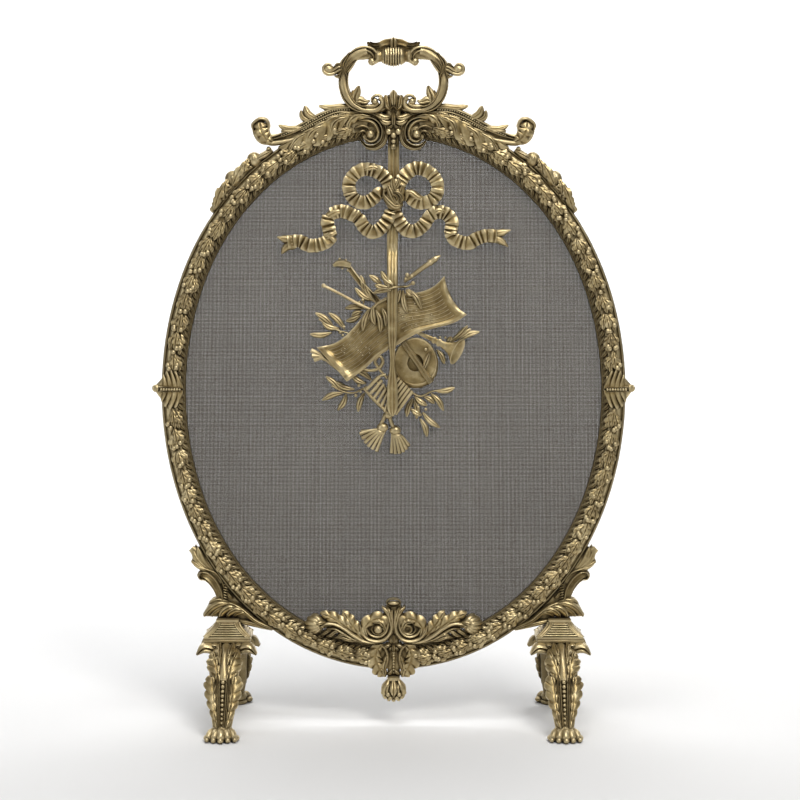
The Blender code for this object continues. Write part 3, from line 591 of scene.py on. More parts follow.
def wing():
    """A long acanthus plume from the crest to a curled tip, with lobes above and below."""
    clay = Clay()
    face = relief(RELIEF_Y, 1.75)
    spine = [(-30, 668), (-55, 671), (-80, 664), (-105, 655), (-128, 650), (-144, 652)]
    stroke(clay, face, spine, [7, 11, 11, 8, 5, 4.5], [2, 2.4, 2.4, 2], 0, "round", 30, 0)
    for path, wide, high, lift in (
        ([(-44, 683), (-58, 684), (-70, 682.6), (-83.5, 685)], 4.2, 5.0, 2.0),
        ([(-84, 671), (-90, 672.6), (-96, 677), (-98.5, 685)], 4.6, 6.0, [1, 2, 3]),
        ([(-90, 667), (-96.5, 669.6), (-101.5, 673), (-103, 680)], 3.4, 6.0, [0, 1, 3]),
        ([(-98, 661), (-110, 660), (-118, 660), (-127.5, 664)], 4.0, 4.4, 2.0),
        ([(-106, 657.6), (-116, 657), (-125.5, 658)], 2.0, 4.6, 2.0),
    ):
        lobe(clay, face, path, wide, high, lift)
    for path, wide, high in (
        ([(-36, 682), (-60, 683), (-80, 677), (-98, 667.6), (-116, 658.6), (-134, 651.6), (-146, 650)],
         2.1, 6.2),
        ([(-40, 678), (-62, 678), (-80, 671.5), (-98, 662), (-116, 654), (-134, 648.5)], 1.7, 7.0),
        ([(-38, 674.6), (-60, 673.6), (-78, 667), (-94, 658.9), (-110, 652)], 1.7, 7.6),
    ):
        stroke(
            clay, face, path, [wide, wide, wide * 0.9, wide * 0.5], [high, high, high * 0.8],
            0, "round", 36,
        )
    for path, high in (
        ([(-50, 680.6), (-70, 678.8), (-90, 669), (-105, 660.6), (-124, 652.8)], 5.0),
        ([(-50, 676.4), (-68, 674), (-86, 666), (-102, 658)], 5.8),
    ):
        beads(clay, face, path, 2.6, [1.1, 0.9], high)
    plume = [(-32, 675), (-50, 677), (-68, 671), (-86, 662), (-102, 653.6), (-118, 645.6), (-128, 640)]
    lower, upper = [6, 15, 20, 20, 19, 15, 8, 2], [2, 3, 4, 4, 3, 3, 2, 1]
    acanthus(clay, face, plume, lower, upper, 7, [5, 7.5, 8, 8, 7.6, 6.6, 4], 0, 0.62, 9, 0, 3.4)
    for path, left, right, high in (
        ([(-27, 673), (-40, 674), (-49, 668), (-53, 657)], [2, 5, 5, 3, 1], [2, 4, 5, 4, 1], 9.0),
        ([(-52, 673), (-64, 668), (-69, 660), (-70, 650)], [1, 4, 5, 4, 1], [1, 4, 5, 4, 1], 10.0),
        ([(-78, 664), (-90, 657), (-95, 650), (-98, 640)], [1, 4, 4.5, 3.6, 1], [1, 4, 5, 4, 1], 9.6),
        ([(-94, 656), (-106, 650), (-112, 643), (-117, 634)], [1, 3.4, 4, 3, 1], [1, 3.4, 4, 3, 1], 8.4),
    ):
        acanthus(
            clay, face, path, left, right, 3, [high * 0.8, high, high * 0.9, high * 0.5], 0, 0.5, 7, 0, 1.7,
        )
    stroke(
        clay, face, [(-98, 653.5), (-112, 648.6), (-126, 645.6), (-138, 645), (-148, 650)],
        [1.2, 2.4, 3.2, 3.2, 1.4], [6, 7, 7, 6.4, 5], 0, "round", 26,
    )
    lobe(clay, face, [(-136, 645), (-144, 652), (-148, 661), (-148.4, 670)], 9.4, 5.0, 0, "round", 16, 0.3)
    acanthus(
        clay, face, [(-133, 645), (-141, 649), (-146.4, 657), (-148, 667)], [3, 6, 8, 8.6, 7.6, 5],
        [3, 6, 8.6, 9.6, 8.6, 5], 4, [6, 8.6, 10, 9.6, 7.6], 0, 0.12, 8, 1.9, 2.0,
    )
    rim = [
        (-139.4, 656), (-138.6, 664), (-141.4, 669.6), (-147, 671), (-152.4, 668.4), (-156, 664),
        (-155, 657),
    ]
    stroke(clay, face, rim, [1.0, 2.2, 2.6, 2.6, 2.6, 2.2, 0.8], [6, 8, 9, 9, 8, 7], 0, "round", 34)
    return clay


def crest_centre():
    """Two C-scrolls either side of a capped column, with a leaf collar and beads under it."""
    clay = Clay()
    stroke(
        clay, relief(-3.6), [(-17, 682.6), (-8, 684), (0, 685), (8, 684), (17, 682.6)],
        [4.4, 6, 6.4, 6, 4.4], 2.2, 0, "round", 14, 2.6,
    )
    for flip in (False, True):
        half = Clay()
        face = relief(RELIEF_Y, 1.75)
        lathe(half, [(8, -1), (9.4, -0.6), (9.4, 0.2), (8, 0.6)], (-24, RELIEF_Y, 653.4), (0, -1, 0), 32)
        for path in (
            [(-44, 661), (-36, 663.4), (-29.6, 661), (-27, 656)],
            [(-40, 656), (-35, 658), (-31, 656)],
        ):
            stroke(half, face, path, [0.8, 1.7, 1.5, 0.6], [5, 7, 6.4, 5], 0, "round", 20)
        scroll = [
            (-52, 671), (-42, 674), (-30, 674.6), (-20, 671.4), (-13.6, 664), (-12, 654.6), (-15, 645.6),
            (-23, 640.6), (-31.6, 641.6), (-37.2, 647.2), (-39.6, 650.6),
        ]
        stroke(
            half, face, scroll, [1.6, 3, 3.4, 3.3, 3.2, 3.2, 3.3, 3.3, 2.9, 1.8, 0.6],
            [7, 8.4, 9, 9, 8.4, 8, 7, 6, 4], 0, "channel", 60,
        )
        inner = [
            (-40, 669), (-30, 669), (-22, 664.6), (-18.4, 656), (-21, 648.6), (-27, 646.2), (-32.6, 649.6),
        ]
        stroke(
            half, face, inner, [0.8, 1.8, 2.2, 2.2, 2.2, 2.0, 0.8], [4, 7, 8, 8, 7.4, 6.6, 5],
            0, "round", 40,
        )
        outer = [
            (-46, 674.6), (-33, 678), (-20, 676), (-10, 667), (-8.6, 654), (-12.6, 643), (-22, 637.6),
            (-32, 638.6),
        ]
        stroke(half, face, outer, [0.8, 1.2, 1.4, 1.4, 1.4, 1.4, 0.8], [6, 7, 7, 6.6, 6, 5], 0, "round", 44)
        ball(half, (-25.2, RELIEF_Y - 4.4, 654), 4.3)
        stroke(
            half, face, [(-25, 657.6), (-30, 657), (-32, 653)], [1.4, 1.4, 0.7], [5.6, 5, 4],
            0, "round", 14,
        )
        for path, wide, high in (
            ([(-9, 684), (-15, 681), (-22, 679.6), (-31, 680)], 3.4, 6),
            ([(-3, 673), (-11, 671.6), (-17, 674), (-22.5, 676.8)], 4.6, 9),
            ([(-2, 668), (-8, 666), (-13, 667.4), (-17.4, 671.6)], 4.0, 9.4),
            ([(-4, 680), (-8.4, 685), (-9.4, 690), (-10.6, 697)], 4.4, 8.2),
            ([(-2, 665), (-5, 661.6), (-9.4, 661)], 2.2, 9.4),
        ):
            lobe(half, face, path, wide, high)
        ball(half, (-5.2, RELIEF_Y - 7.6, 656.6), 3.5)
        stroke(half, face, [(-6, 652), (-5, 647), (-6, 641)], [1.5, 2.2, 0.6], [6, 6, 3], 0, "leaf", 8)
        clay.also(half, flip)
    face = relief(RELIEF_Y)
    column = [(0, 638), (0, 652), (0, 668), (0, 684), (0, 697)]
    stroke(clay, face, column, [3, 6, 8.4, 7.6, 6.6], [3, 4], 0, "round", 20, 0)
    lobe(clay, face, [(0, 681), (0, 688), (0, 695), (0, 702.4)], 5.4, 9.6)
    for side in (-1, 1):
        rib = mirrored([(2.88, 683), (3.6, 690), (2.88, 697)], side)
        stroke(clay, face, rib, [0.8, 1.2, 0.8], [9, 9.8, 8], 0, "round", 8)
    lobe(clay, face, [(0, 678), (0, 671), (0, 661)], 3.4, 10.6)
    for high, z, radius in ((7.6, 652.6, 3.2), (6.2, 646.4, 2.6), (5.2, 641.4, 2.0)):
        ball(clay, (0, RELIEF_Y - high, z), radius)
    for side in (-1, 1):
        collar = mirrored([(2.8, 677.6), (3.4, 681), (0, 684.4)], side)
        stroke(clay, face, collar, [0.7, 0.9, 0.7], [10, 10.6, 10], 0, "round", 8)
    return clay


def handle_side():
    """One C-scroll of the handle, cast in the round, with its acanthus sleeve and curled ear."""
    clay = Clay()
    face = relief(HANDLE_Y - 0.4, 1.75)

    def strip(path, wide, high, lift=0.0, section="round", steps=30):
        stroke(clay, face, path, wide, high, lift, section, steps, 0.8, True)

    main = [
        (-17.5, 693.5), (-14.3, 690), (-14.8, 684.5), (-20, 680.3), (-28, 679.3), (-37, 681), (-46, 686.5),
        (-52.5, 695.5), (-56.2, 707), (-56.2, 718), (-53, 728), (-47, 736), (-39, 741.5), (-31, 744),
    ]
    strip(
        main, [2.4, 2.8, 3, 3, 3.2, 4, 5.4, 5.6, 5.4, 5.2, 5.4, 5.6, 5.4, 5], [4.6, 4.8, 5.4, 5.4, 5],
        steps=64,
    )
    rim = [(-31, 684), (-37, 684.3), (-43.5, 688), (-48.5, 695), (-51.6, 704), (-51.8, 714), (-50.5, 721)]
    strip(rim, [0.9, 1.2, 1.3, 1.2, 0.7], [5.8, 6.2, 5.6, 5.4], steps=36)
    strip(
        [(-29, 677.5), (-40, 678.6), (-50, 684), (-57.5, 694), (-61, 706)], [0.8, 1.1, 1], [4.6, 4.8, 4.2],
        steps=30,
    )
    strip(
        [(-14.5, 688), (-15.2, 694.2), (-20, 696.2), (-25, 693.4), (-25.6, 689)], [2.2, 2.1, 1.9, 1.6, 1],
        [4.6, 4.4, 4.2], steps=24,
    )
    ball(clay, (-20.4, HANDLE_Y, 689.6), 4.0, (1, 1.2, 1), 16)
    strip(
        [(-44, 688), (-43.4, 695), (-41.4, 700), (-39.4, 706.4)], [4.6, 5.4, 4.4, 1.6],
        [4.2, 4.8, 3.8, 2.6], 0, "leaf", 16,
    )
    strip(
        [(-44, 689), (-38.4, 690.6), (-33, 689), (-27.5, 690.4)], [3.4, 5.2, 3.8, 1.0], [3.6, 4.0, 3.4, 2],
        0, "leaf", 16,
    )
    strip([(-46, 690), (-46.6, 696), (-46, 701.6)], [3, 3, 1.2], [4, 4, 2.6], 0, "leaf", 8)
    strip(
        [(-38, 684), (-30, 683.6), (-22, 684.6), (-17.6, 688)], [1.6, 3.0, 3.0, 1.6], [2.2, 2.6, 2.6, 2],
        0, "round", 14,
    )
    arc = [(-50, 741), (-42, 746.2), (-33, 748.2), (-24.5, 746), (-19.4, 740), (-20.4, 733), (-24.6, 730.6)]
    strip(arc, [1.0, 1.6, 1.9, 2.0, 2.2, 2.6, 1.6], [4.2, 5, 5.4, 5.2, 5], 0, "round", 40)
    strip(
        [(-42, 741), (-35, 744), (-28, 743), (-23.6, 738.6), (-23.4, 734.6)], [1.0, 1.3, 1.3, 1.2, 0.8],
        [4.8, 5.4, 4.6], 0, "round", 28,
    )
    strip(
        [(-44, 736.6), (-35, 738.4), (-28, 739.4), (-22.4, 737)], [2.6, 3.6, 4.6, 3.6], [1.4, 1.8, 1.4],
        0, "round", 20,
    )
    ball(clay, (-23.4, HANDLE_Y, 732.6), 4.5, (1, 1.1, 1), 16)
    sleeve = [
        ([(-56.5, 722), (-57.5, 730), (-53, 737.5), (-50, 742.5)], 3.4),
        ([(-55, 721), (-52.6, 729), (-47.5, 735.5), (-43, 739.5)], 3.2),
        ([(-54, 719), (-50.4, 724), (-46.5, 729), (-42, 733.5)], 2.6),
        ([(-57, 723), (-58.6, 729.5), (-57.5, 734)], 2.6),
        ([(-56, 722), (-53.5, 716), (-52.5, 711)], 2.8),
        ([(-57.5, 722), (-59.3, 716), (-61.5, 711)], 2.6),
    ]
    for path, wide in sleeve:
        strip(path, [wide * 0.6, wide, wide * 0.8, 0.5], [6.4, 7, 6.4, 4.6], 0, "leaf", 14)
    for z, x, r in ((726, -57, 2.8), (719.5, -56.5, 2.5)):
        ball(clay, (x + 1.75, HANDLE_Y, z), r, (1, 2.4, 1))
    strip(
        [(-54, 725.5), (-61, 724.8), (-67, 721.4), (-72, 719.4)], [3.6, 4.4, 4, 3], [5.6, 5.8, 5, 4.4],
        0, "leaf", 18,
    )
    strip(
        [(-66, 720), (-72, 718.8), (-77, 721.6), (-77.4, 727), (-72.6, 729.8), (-69, 727.4)],
        [2, 2.2, 2.4, 2.4, 2, 1.2], [5, 5.4, 5, 4.6], 0, "round", 28,
    )
    ball(clay, (-71.0, HANDLE_Y, 724.0), 6.0, (1.1, 0.95, 1), 16)
    strip([(-58, 728.5), (-62.5, 729.6), (-67, 726.6)], [2, 2.2, 0.7], [5, 5, 3], 0, "leaf", 10)
    strip([(-58, 720), (-62, 716.6), (-66.4, 716.8)], [2.6, 2.8, 0.7], [5, 5, 3], 0, "leaf", 10)
    return clay


def handle_grip():
    """A ringed barrel between the scrolls, under a scalloped crown of leaves."""
    clay = Clay()
    half = [(3.4, -21), (5.6, -19.4), (7.4, -17.6), (6.4, -15.4), (6.2, -13.6), (7.6, -11.6), (9.0, -10)]
    ringed = []
    for k in range(-3, 4):
        x = k * 2.75
        swell = 11.6 - 0.03 * x * x
        ringed += [(swell - 1.5, x - 1.3), (swell - 0.2, x - 0.7), (swell, x), (swell - 0.2, x + 0.7)]
    profile = half + ringed + [(r, -along) for r, along in reversed(half)]
    lathe(clay, profile, (0, HANDLE_Y, GRIP_Z), (1, 0, 0), 24)
    face = relief(HANDLE_Y - 0.4)
    for side in (-1, 1):
        web = [(-18, 741), (-27, 744), (-36, 742), (-43, 737)]
        stroke(
            clay, face, mirrored(web, side), [4, 4.6, 4.0, 2.0], [1.6, 1.8, 1.6], 0, "round", 16, 0.8, True,
        )
        for path, wide, high in (
            ([(1, 753), (9, 752.6), (17, 749.4), (24, 749), (28.4, 753.6)], [5.2, 4.6, 3.6, 3.0, 1.4], 6.4),
            ([(0, 748.6), (8, 748), (16, 745.6), (23, 746)], [3.2, 3.0, 2.4, 1.0], 8.0),
            ([(15, 751.6), (21, 751), (26, 753.6)], [2.0, 2.4, 1.0], 7.4),
        ):
            heights = [high, high * 0.9, high * 0.75, high * 0.6]
            stroke(clay, face, mirrored(path, side), wide, heights, 0, "hollow", 20, 0.8, True)
    lobe(clay, face, [(0, 744), (0, 750), (0, 758.6)], 4.6, 9.6, 0, "leaf", 10, 14)
    return clay


def fruit_spray():
    """Two fruits, a seed head and small berries on a twig outside the frame's shoulder."""
    clay = Clay()

    def at(angle, out, y=-5.2):
        x, z = oval_points(math.pi - angle, out)
        return (float(x), y, float(z))

    twig = [at(1.04 - 0.33 * t / 6, 28.5 + 0.8 * math.sin(t), -3.6) for t in range(7)]
    tube(clay, twig, [3.4, 5.0, 5.0, 4.0], 24, 10)
    for angle, radius in ((0.965, 8.4), (0.855, 9.2)):
        x, y, z = at(angle, BAND + radius - 3.0)
        ball(clay, (x, y, z), radius, (1, 0.88, 1.0), 27, 9, 0.1)
        ball(clay, (x, y - radius * 0.8, z + 1.5), 2.2)
        for far, wide in ((-0.07, 5.0), (-0.035, 4.4)):
            (x0, _, z0), (x1, _, z1) = at(angle + far * 1.9, 27), at(angle + far * 0.3, 36)
            path = [(x0, z0), ((x0 + x1) / 2 - 1.5, (z0 + z1) / 2), (x1, z1)]
            reach = [1.5, wide, wide, wide * 0.6, 0.6]
            acanthus(clay, relief(-8.5), path, reach, reach, 3, [2, 3, 3, 1.5], [1, 4, 4, 2], 0.4, 6, 5)
    x, y, z = at(0.785, BAND + 4.5)
    ball(clay, (x, y, z), 5.8)
    for ring, count, lean in ((0.0, 6, 0.2), (0.55, 6, 0.8), (1.05, 5, 0.1)):
        for k in range(count):
            a = lean + k * 2 * math.pi / count
            r = 6.4 * math.cos(ring)
            ball(clay, (x + r * math.cos(a), y - 6.0 * math.sin(ring), z + r * math.sin(a)), 2.2, sides=10)
    ball(clay, (x, y - 6.6, z), 2.2, sides=10)
    for angle, out, r in (
        (1.035, 31, 2.8), (1.02, 28.5, 2.6), (1.0, 30.5, 2.4), (0.93, 29.5, 2.9), (0.915, 32.5, 2.5),
        (0.905, 29, 2.6), (0.82, 30, 2.7), (0.81, 33, 2.3), (0.745, 29, 2.3), (0.735, 31.5, 2.0),
    ):
        ball(clay, at(angle, out, -7.4), r, sides=10)
    for angle, out, far, spread_out in (
        (1.04, 27, 0.955, 31), (0.94, 27, 0.88, 34), (0.83, 27, 0.80, 33), (0.765, 28, 0.71, 27.6),
    ):
        (x0, _, z0), (x1, _, z1) = at(angle, out), at(far, spread_out)
        stroke(
            clay, relief(-7.5), [(x0, z0), ((x0 + x1) / 2, (z0 + z1) / 2), (x1, z1)], [1.2, 3.4, 2.6, 0.5],
            [2.6, 3, 1.5], [1.5, 2.5, 1], "leaf", 10, 3,
        )
    return clay


def build_crest(gilt):
    piece("crest_scrolls", crest_centre(), gilt, "crest_cartouche")
    pair("crest_plume", wing(), gilt, "crest_wing")
    pair("handle_c_scroll", handle_side(), gilt, "handle_scroll")
    piece("grip_baluster", handle_grip(), gilt, "handle_grip")
    pair("fruit_and_berries", fruit_spray(), gilt, "fruit_spray")


# ---------------------------------------------------------------- side clasps and base


def clasp():
    """Acanthus leaves fanning up and down from a beaded band."""
    clay = Clay()
    face = relief(RELIEF_Y, 0.6)
    stroke(
        clay, face, [(-236, 374.5), (-250, 374.5), (-263, 375)], [15, 18, 16, 5], [3.2, 4, 4, 3],
        0, "round", 14, 0,
    )
    reach, none = [16, 21, 21.5, 19.5, 16, 8], [0.5]
    for way, left, right in ((1, none, reach), (-1, reach, none)):
        path = [(-233, 374.5 + way), (-241, 374.5 + way), (-248, 374.8 + way), (-256, 375.4 + way)]
        acanthus(clay, face, path, left, right, 4, [7, 8, 7.4, 5], 0, 0.26, 9, 0, 3.0)
    for k in range(8):
        ball(clay, (-235.9 - k * 2.9, RELIEF_Y - 8.2, 374.4), 1.5, sides=10)
    for z in (371.9, 376.9):
        stroke(clay, face, [(-235, z), (-260, z)], [0.9], [8.6, 8.2, 6], 0, "round", 10)
    ball(clay, (-262.6, RELIEF_Y - 3.8, 375.5), 4.3, (1, 1.1, 1), 16, 8, 0.2)
    return clay


def base_volute(missing_eye):
    """A shell-backed volute on the viewer's left of the base. One of the pair has lost its centre bead."""
    clay = Clay()
    face = relief(RELIEF_Y, 1.75)
    stroke(
        clay, face, [(-22, 122), (-20, 110), (-20, 92)], [11, 17, 17, 8], [1.4, 1.6, 1.4], 0, "flat", 14, 0,
    )
    acanthus(
        clay, face, [(-31, 97), (-34, 106), (-30, 114), (-22, 118), (-14, 117), (-9, 110)],
        [2, 6.6, 8, 8, 8.4, 7, 2], [2, 4, 6, 6, 5, 2], 4, [6, 8, 8.6, 8.6, 8, 7], 0, 0.34, 9, 1, 2.4,
    )
    acanthus(
        clay, face, [(-12, 103), (-12.6, 110), (-16.6, 114.6), (-22.4, 114.4)], [1, 3, 4, 3, 1],
        [1, 4, 5, 5, 2], 3, [7, 9.4, 9.6, 8], 0, 0.3, 7, 1, 1.6,
    )
    for path, wide, high in (
        ([(-3.6, 128), (-3.4, 114), (-5.4, 103), (-12, 95.4), (-21, 93.2), (-30.6, 96), (-37, 103),
         (-39.4, 111)], 3.2, 9.4),
        ([(-8, 121), (-8, 112), (-10.4, 104), (-15.4, 99.4), (-22, 98.4), (-28.4, 101.4), (-32, 107)],
         2.8, 8.8),
        ([(-24.5, 112.5), (-18.4, 115), (-12.4, 111.6), (-11.6, 105.6), (-15.8, 101.6), (-22.4, 101.6),
         (-26, 106), (-25, 110)], 1.7, 8.8),
    ):
        widths = [wide * 0.6, wide, wide, wide * 0.6]
        stroke(clay, face, path, widths, [high * 0.8, high, high, high * 0.8], 0, "round", 44)
    if missing_eye:
        turns = np.linspace(0, 2 * math.pi, 13)
        ring = [(-17.4 + 4.4 * math.cos(t), 106.4 + 4.4 * math.sin(t)) for t in turns]
        stroke(clay, face, ring, [1.7], [8.4], 0, "round", 30)
    else:
        ball(clay, (-17.0, RELIEF_Y - 6.0, 106.4), 4.9, (1, 1, 1), 16)
    return clay


def base_lower_leaf():
    """The C-shaped acanthus on the viewer's left, under the volutes."""
    clay = Clay()
    face = relief(RELIEF_Y, 1.75)
    stroke(clay, face, [(-12, 89), (-17, 78), (-15, 62)], [5, 11, 11, 7], [1.6, 2, 2], 0, "round", 14, 0)
    acanthus(
        clay, face, [(-14, 90), (-20, 83), (-21.6, 74), (-18.6, 65), (-12.6, 55)], [3, 6, 7, 7, 6, 2],
        [4, 9, 10, 10, 9, 3], 5, [7, 8.4, 8.8, 8.4, 7], 0, 0.5, 9, 1, 2.4,
    )
    acanthus(
        clay, face, [(-8, 80), (-10.6, 70), (-12, 62), (-11, 53)], [1, 2, 3, 3, 1], [1, 4, 5, 5, 2], 3,
        [7, 8.6, 8.4, 7], 0, 0.4, 7, 1, 1.6,
    )
    stroke(
        clay, face, [(-17, 90), (-10.6, 84), (-8.4, 75), (-10, 65), (-15, 58)], [1.4, 2.1, 2.1, 1.6, 0.8],
        [8, 9.4, 9.2, 8.4], 0, "round", 26,
    )
    return clay


def base_centre():
    """The scroll cartouche under the frame: volutes and leaves either side of a fluted stem with a boss."""
    clay = Clay()
    for right in (False, True):
        clay.also(base_volute(right), right)
        clay.also(base_lower_leaf(), right)
    face = relief(RELIEF_Y)
    stem = [(0, 134), (0, 118), (0, 96), (0, 84), (0, 50)]
    stroke(clay, face, stem, [6, 5, 6, 7, 7], [3, 4, 3, 1.4, 1.4], 0, "round", 24, 0)
    for side in (-1, 1):
        for path, wide, high in (
            ([(2.0, 112), (4.2, 120), (7.8, 126.6), (13, 131.4)], 3.2, 7.4),
            ([(1.6, 100), (2.2, 113), (4.4, 123), (7.0, 132.6)], 4.2, 8.8),
            ([(2, 88), (5.6, 88.4), (9, 86.4), (11, 83)], 2.8, 9.4),
            ([(1, 86), (3.6, 85), (5.4, 82)], 2.2, 9.0),
            ([(1, 61), (4, 57), (8, 54.6)], 2.6, 7.0),
        ):
            lobe(clay, face, mirrored(path, side), wide, high)
    lobe(clay, face, [(0, 90), (0, 94), (0, 101)], 2.4, 10.4)
    lobe(clay, face, [(0, 90), (0, 86), (0, 81)], 2.6, 10.6)
    ball(clay, (0, RELIEF_Y - 7.6, 136.6), 6.2, (1, 0.72, 0.40), 20)
    ring = [(7.6 * math.cos(t), 136.4 + 4.2 * math.sin(t)) for t in np.linspace(0, 2 * math.pi, 17)]
    stroke(clay, face, ring, [1.0], [7.4], 0, "round", 36, 0)
    beads(clay, face, [(0, 80), (0, 57)], 2.9, [1.9, 1.2], 3.0)
    lathe(clay, [(5, -2.6), (7.2, -1.6), (7.4, 0), (7.0, 1.4), (5, 2.4)], (0, RELIEF_Y - 6, 51.5), sides=24)
    return clay


def base_arm():
    """The acanthus arm of the base on the viewer's left, with a ribbed bud at its end."""
    clay = Clay()
    face = relief(RELIEF_Y, 1.75)
    stroke(
        clay, face, [(-30, 94), (-48, 106), (-66, 114), (-84, 114)], [3, 7, 9, 7], [2, 2.4, 2],
        0, "round", 20, 0,
    )
    for path, left, right, teeth, high in (
        ([(-34, 95), (-42, 104), (-50, 114), (-58, 127)], [2, 5, 6, 6, 5, 1], [2, 7, 8, 8, 6, 1], 4, 8.0),
        ([(-46, 102), (-58, 112), (-70, 119.6), (-83, 125)], [2, 4, 5, 6, 5, 1], [2, 6, 7.6, 7.4, 5.6, 1],
         4, 9.0),
    ):
        acanthus(
            clay, face, path, left, right, teeth, [high * 0.7, high, high, high * 0.7], 0, 0.5, 8, 1, 2.0,
        )
    for path, wide, high in (
        ([(-22, 91), (-34, 93), (-46, 99.6), (-57, 107.6), (-68, 112.6), (-78, 112.4), (-84, 108.6)],
         [2, 3, 3.4, 3.4, 3.2, 2.8, 1.4], 9.6),
        ([(-36, 91.6), (-48, 96), (-58, 102), (-67, 107), (-76, 106.6)], [1.4, 2.4, 2.6, 2.2, 0.8], 7.4),
    ):
        stroke(clay, face, path, wide, [high * 0.8, high, high, high * 0.85], 0, "round", 34)
    for path, wide, high in (
        ([(-42, 93), (-52, 94.4), (-61, 97.6), (-68, 96.4)], 2.8, 7.0),
        ([(-50, 96), (-56, 100.6), (-61, 100.4), (-64, 97)], 2.6, 8.0),
        ([(-60, 104.6), (-67, 103.4), (-72, 99.6), (-77, 98)], 2.8, 7.0),
        ([(-70, 107), (-76, 103.6), (-80, 101), (-83, 99.6)], 2.4, 6.2),
    ):
        lobe(clay, face, path, wide, high)
    bud = ((2.05, 4.4), (2.5, 4.6), (2.95, 4.6), (3.4, 4.4), (3.85, 4.0), (4.35, 3.6))
    for k, (tilt, wide) in enumerate(bud):
        reach = 12.6 - 0.5 * abs(k - 2)
        tip = (-88.5 + reach * math.cos(tilt), 110.6 + reach * math.sin(tilt))
        mid = (-85 + reach * 0.62 * math.cos(tilt - 0.25), 110.6 + reach * 0.72 * math.sin(tilt - 0.1))
        lobe(clay, face, [(-79, 112), mid, tip], wide, 9.4 - 0.5 * abs(k - 2), [0, 1.4, -1.6], "round", 16)
    lobe(clay, face, [(-76, 113.4), (-82, 114.4), (-88, 112.4), (-90.6, 107.6)], 3.4, 9.8, [0, 2.4, 1.2])
    lobe(clay, face, [(-77, 111), (-82, 109.6), (-85, 105.6)], 2.6, 9.0, [0, 1.6, 0.6])
    return clay


def pendant():
    """A bud: six petals round a swelling, with a cluster of beads between and beneath them."""
    clay = Clay()
    middle = RELIEF_Y - 6
    lathe(
        clay, [(5, 51), (5.6, 48), (9.0, 44), (10.6, 39), (9.4, 33), (5.4, 29), (1, 27.4)], (0, middle, 0),
        sides=24,
    )
    outer = ([27, 30, 33, 36, 40, 44, 47.4, 50, 52], [4.2, 8.2, 10.6, 12.0, 12.4, 11.2, 8.6, 6.4, 5.2])
    for k in range(6):
        turn = k * math.pi / 3

        def petal(a, b, h, turn=turn):
            reach = np.interp(b, *outer) + h
            angle = turn + a / np.maximum(np.interp(b, *outer), 4)
            return np.stack([reach * np.sin(angle), middle - reach * np.cos(angle), b], -1)

        stroke(
            clay, petal, [(0, 50.6), (0, 46), (0, 41), (0, 36.6), (0, 33.2)], [1.4, 3.4, 4.3, 4.2, 3.0, 0.6],
            [1.4, 2.4, 2.9, 2.9, 2.2], 0, "leaf", 18, 1.5,
        )
        stroke(
            clay, petal, [(5.2, 46), (5.2, 40), (5.2, 35)], [0.8, 1.5, 1.3, 0.5], [0.8, 1.2, 0.8],
            0, "round", 10, 1.5,
        )
    for z, radius, count, size in (
        (35.4, 11.8, 6, 2.6), (31.6, 10.4, 9, 2.5), (28.6, 6.2, 6, 2.4), (27.2, 0.0, 1, 2.2),
    ):
        for k in range(count):
            turn = (k + (0.5 if z != 28.6 else 0)) * 2 * math.pi / count
            ball(clay, (radius * math.sin(turn), middle - radius * math.cos(turn), z), size, sides=10)
    return clay


def build_base(gilt):
    pair("side_acanthus_clasp", clasp(), gilt, "side_clasp")
    piece("base_scrolls", base_centre(), gilt, "base_cartouche")
    pair("base_arm", base_arm(), gilt, "base_leaf")
    piece("pendant_bud", pendant(), gilt, "base_pendant")


# ---------------------------------------------------------------- brackets and legs


def outline_plate(clay, outline, front, back, soften):
    """A flat plate with rounded edges. The outline runs round the plate, as x and z."""
    points = smooth([*outline, outline[0]], len(outline) * 4)[:-1]
    along = np.roll(points, -1, 0) - np.roll(points, 1, 0)
    normal = np.stack([along[:, 1], -along[:, 0]], 1)
    normal = unit(normal)
    if np.cross(points, np.roll(points, -1, 0)).sum() < 0:
        normal = -normal
    rings = []
    for y, inset in ((front, soften), (front + soften, 0), (back - soften, 0), (back, soften)):
        moved = points - normal * inset
        rings.append(np.stack([moved[:, 0], np.full(len(moved), y), moved[:, 1]], 1))
    clay.skin(np.array(rings))


BRACKET_OUTER = [  # the free edge of a bracket, from the frame round its shell, curl and leaves back to it
    (-221.4, 200), (-225.6, 190), (-224.6, 184.6), (-226.4, 181), (-222, 176.6), (-215.6, 173.4),
    (-218.8, 168.4), (-219.4, 164), (-215.6, 160.4), (-211, 160.4), (-205.6, 155.6), (-200.8, 148),
    (-198, 141.4), (-205.4, 137), (-208, 131), (-213.6, 121.4), (-211.6, 119.4), (-203, 119), (-192, 118.6),
    (-178, 118.6), (-175, 112.6), (-166, 110), (-152, 108.6), (-142, 106.6),
]


def bracket_back(a, b, h):
    """The rear face of a bracket, where the relief is only a quarter as high."""
    return np.stack([a + 0.6, 4.6 + h * 0.25, b], -1)


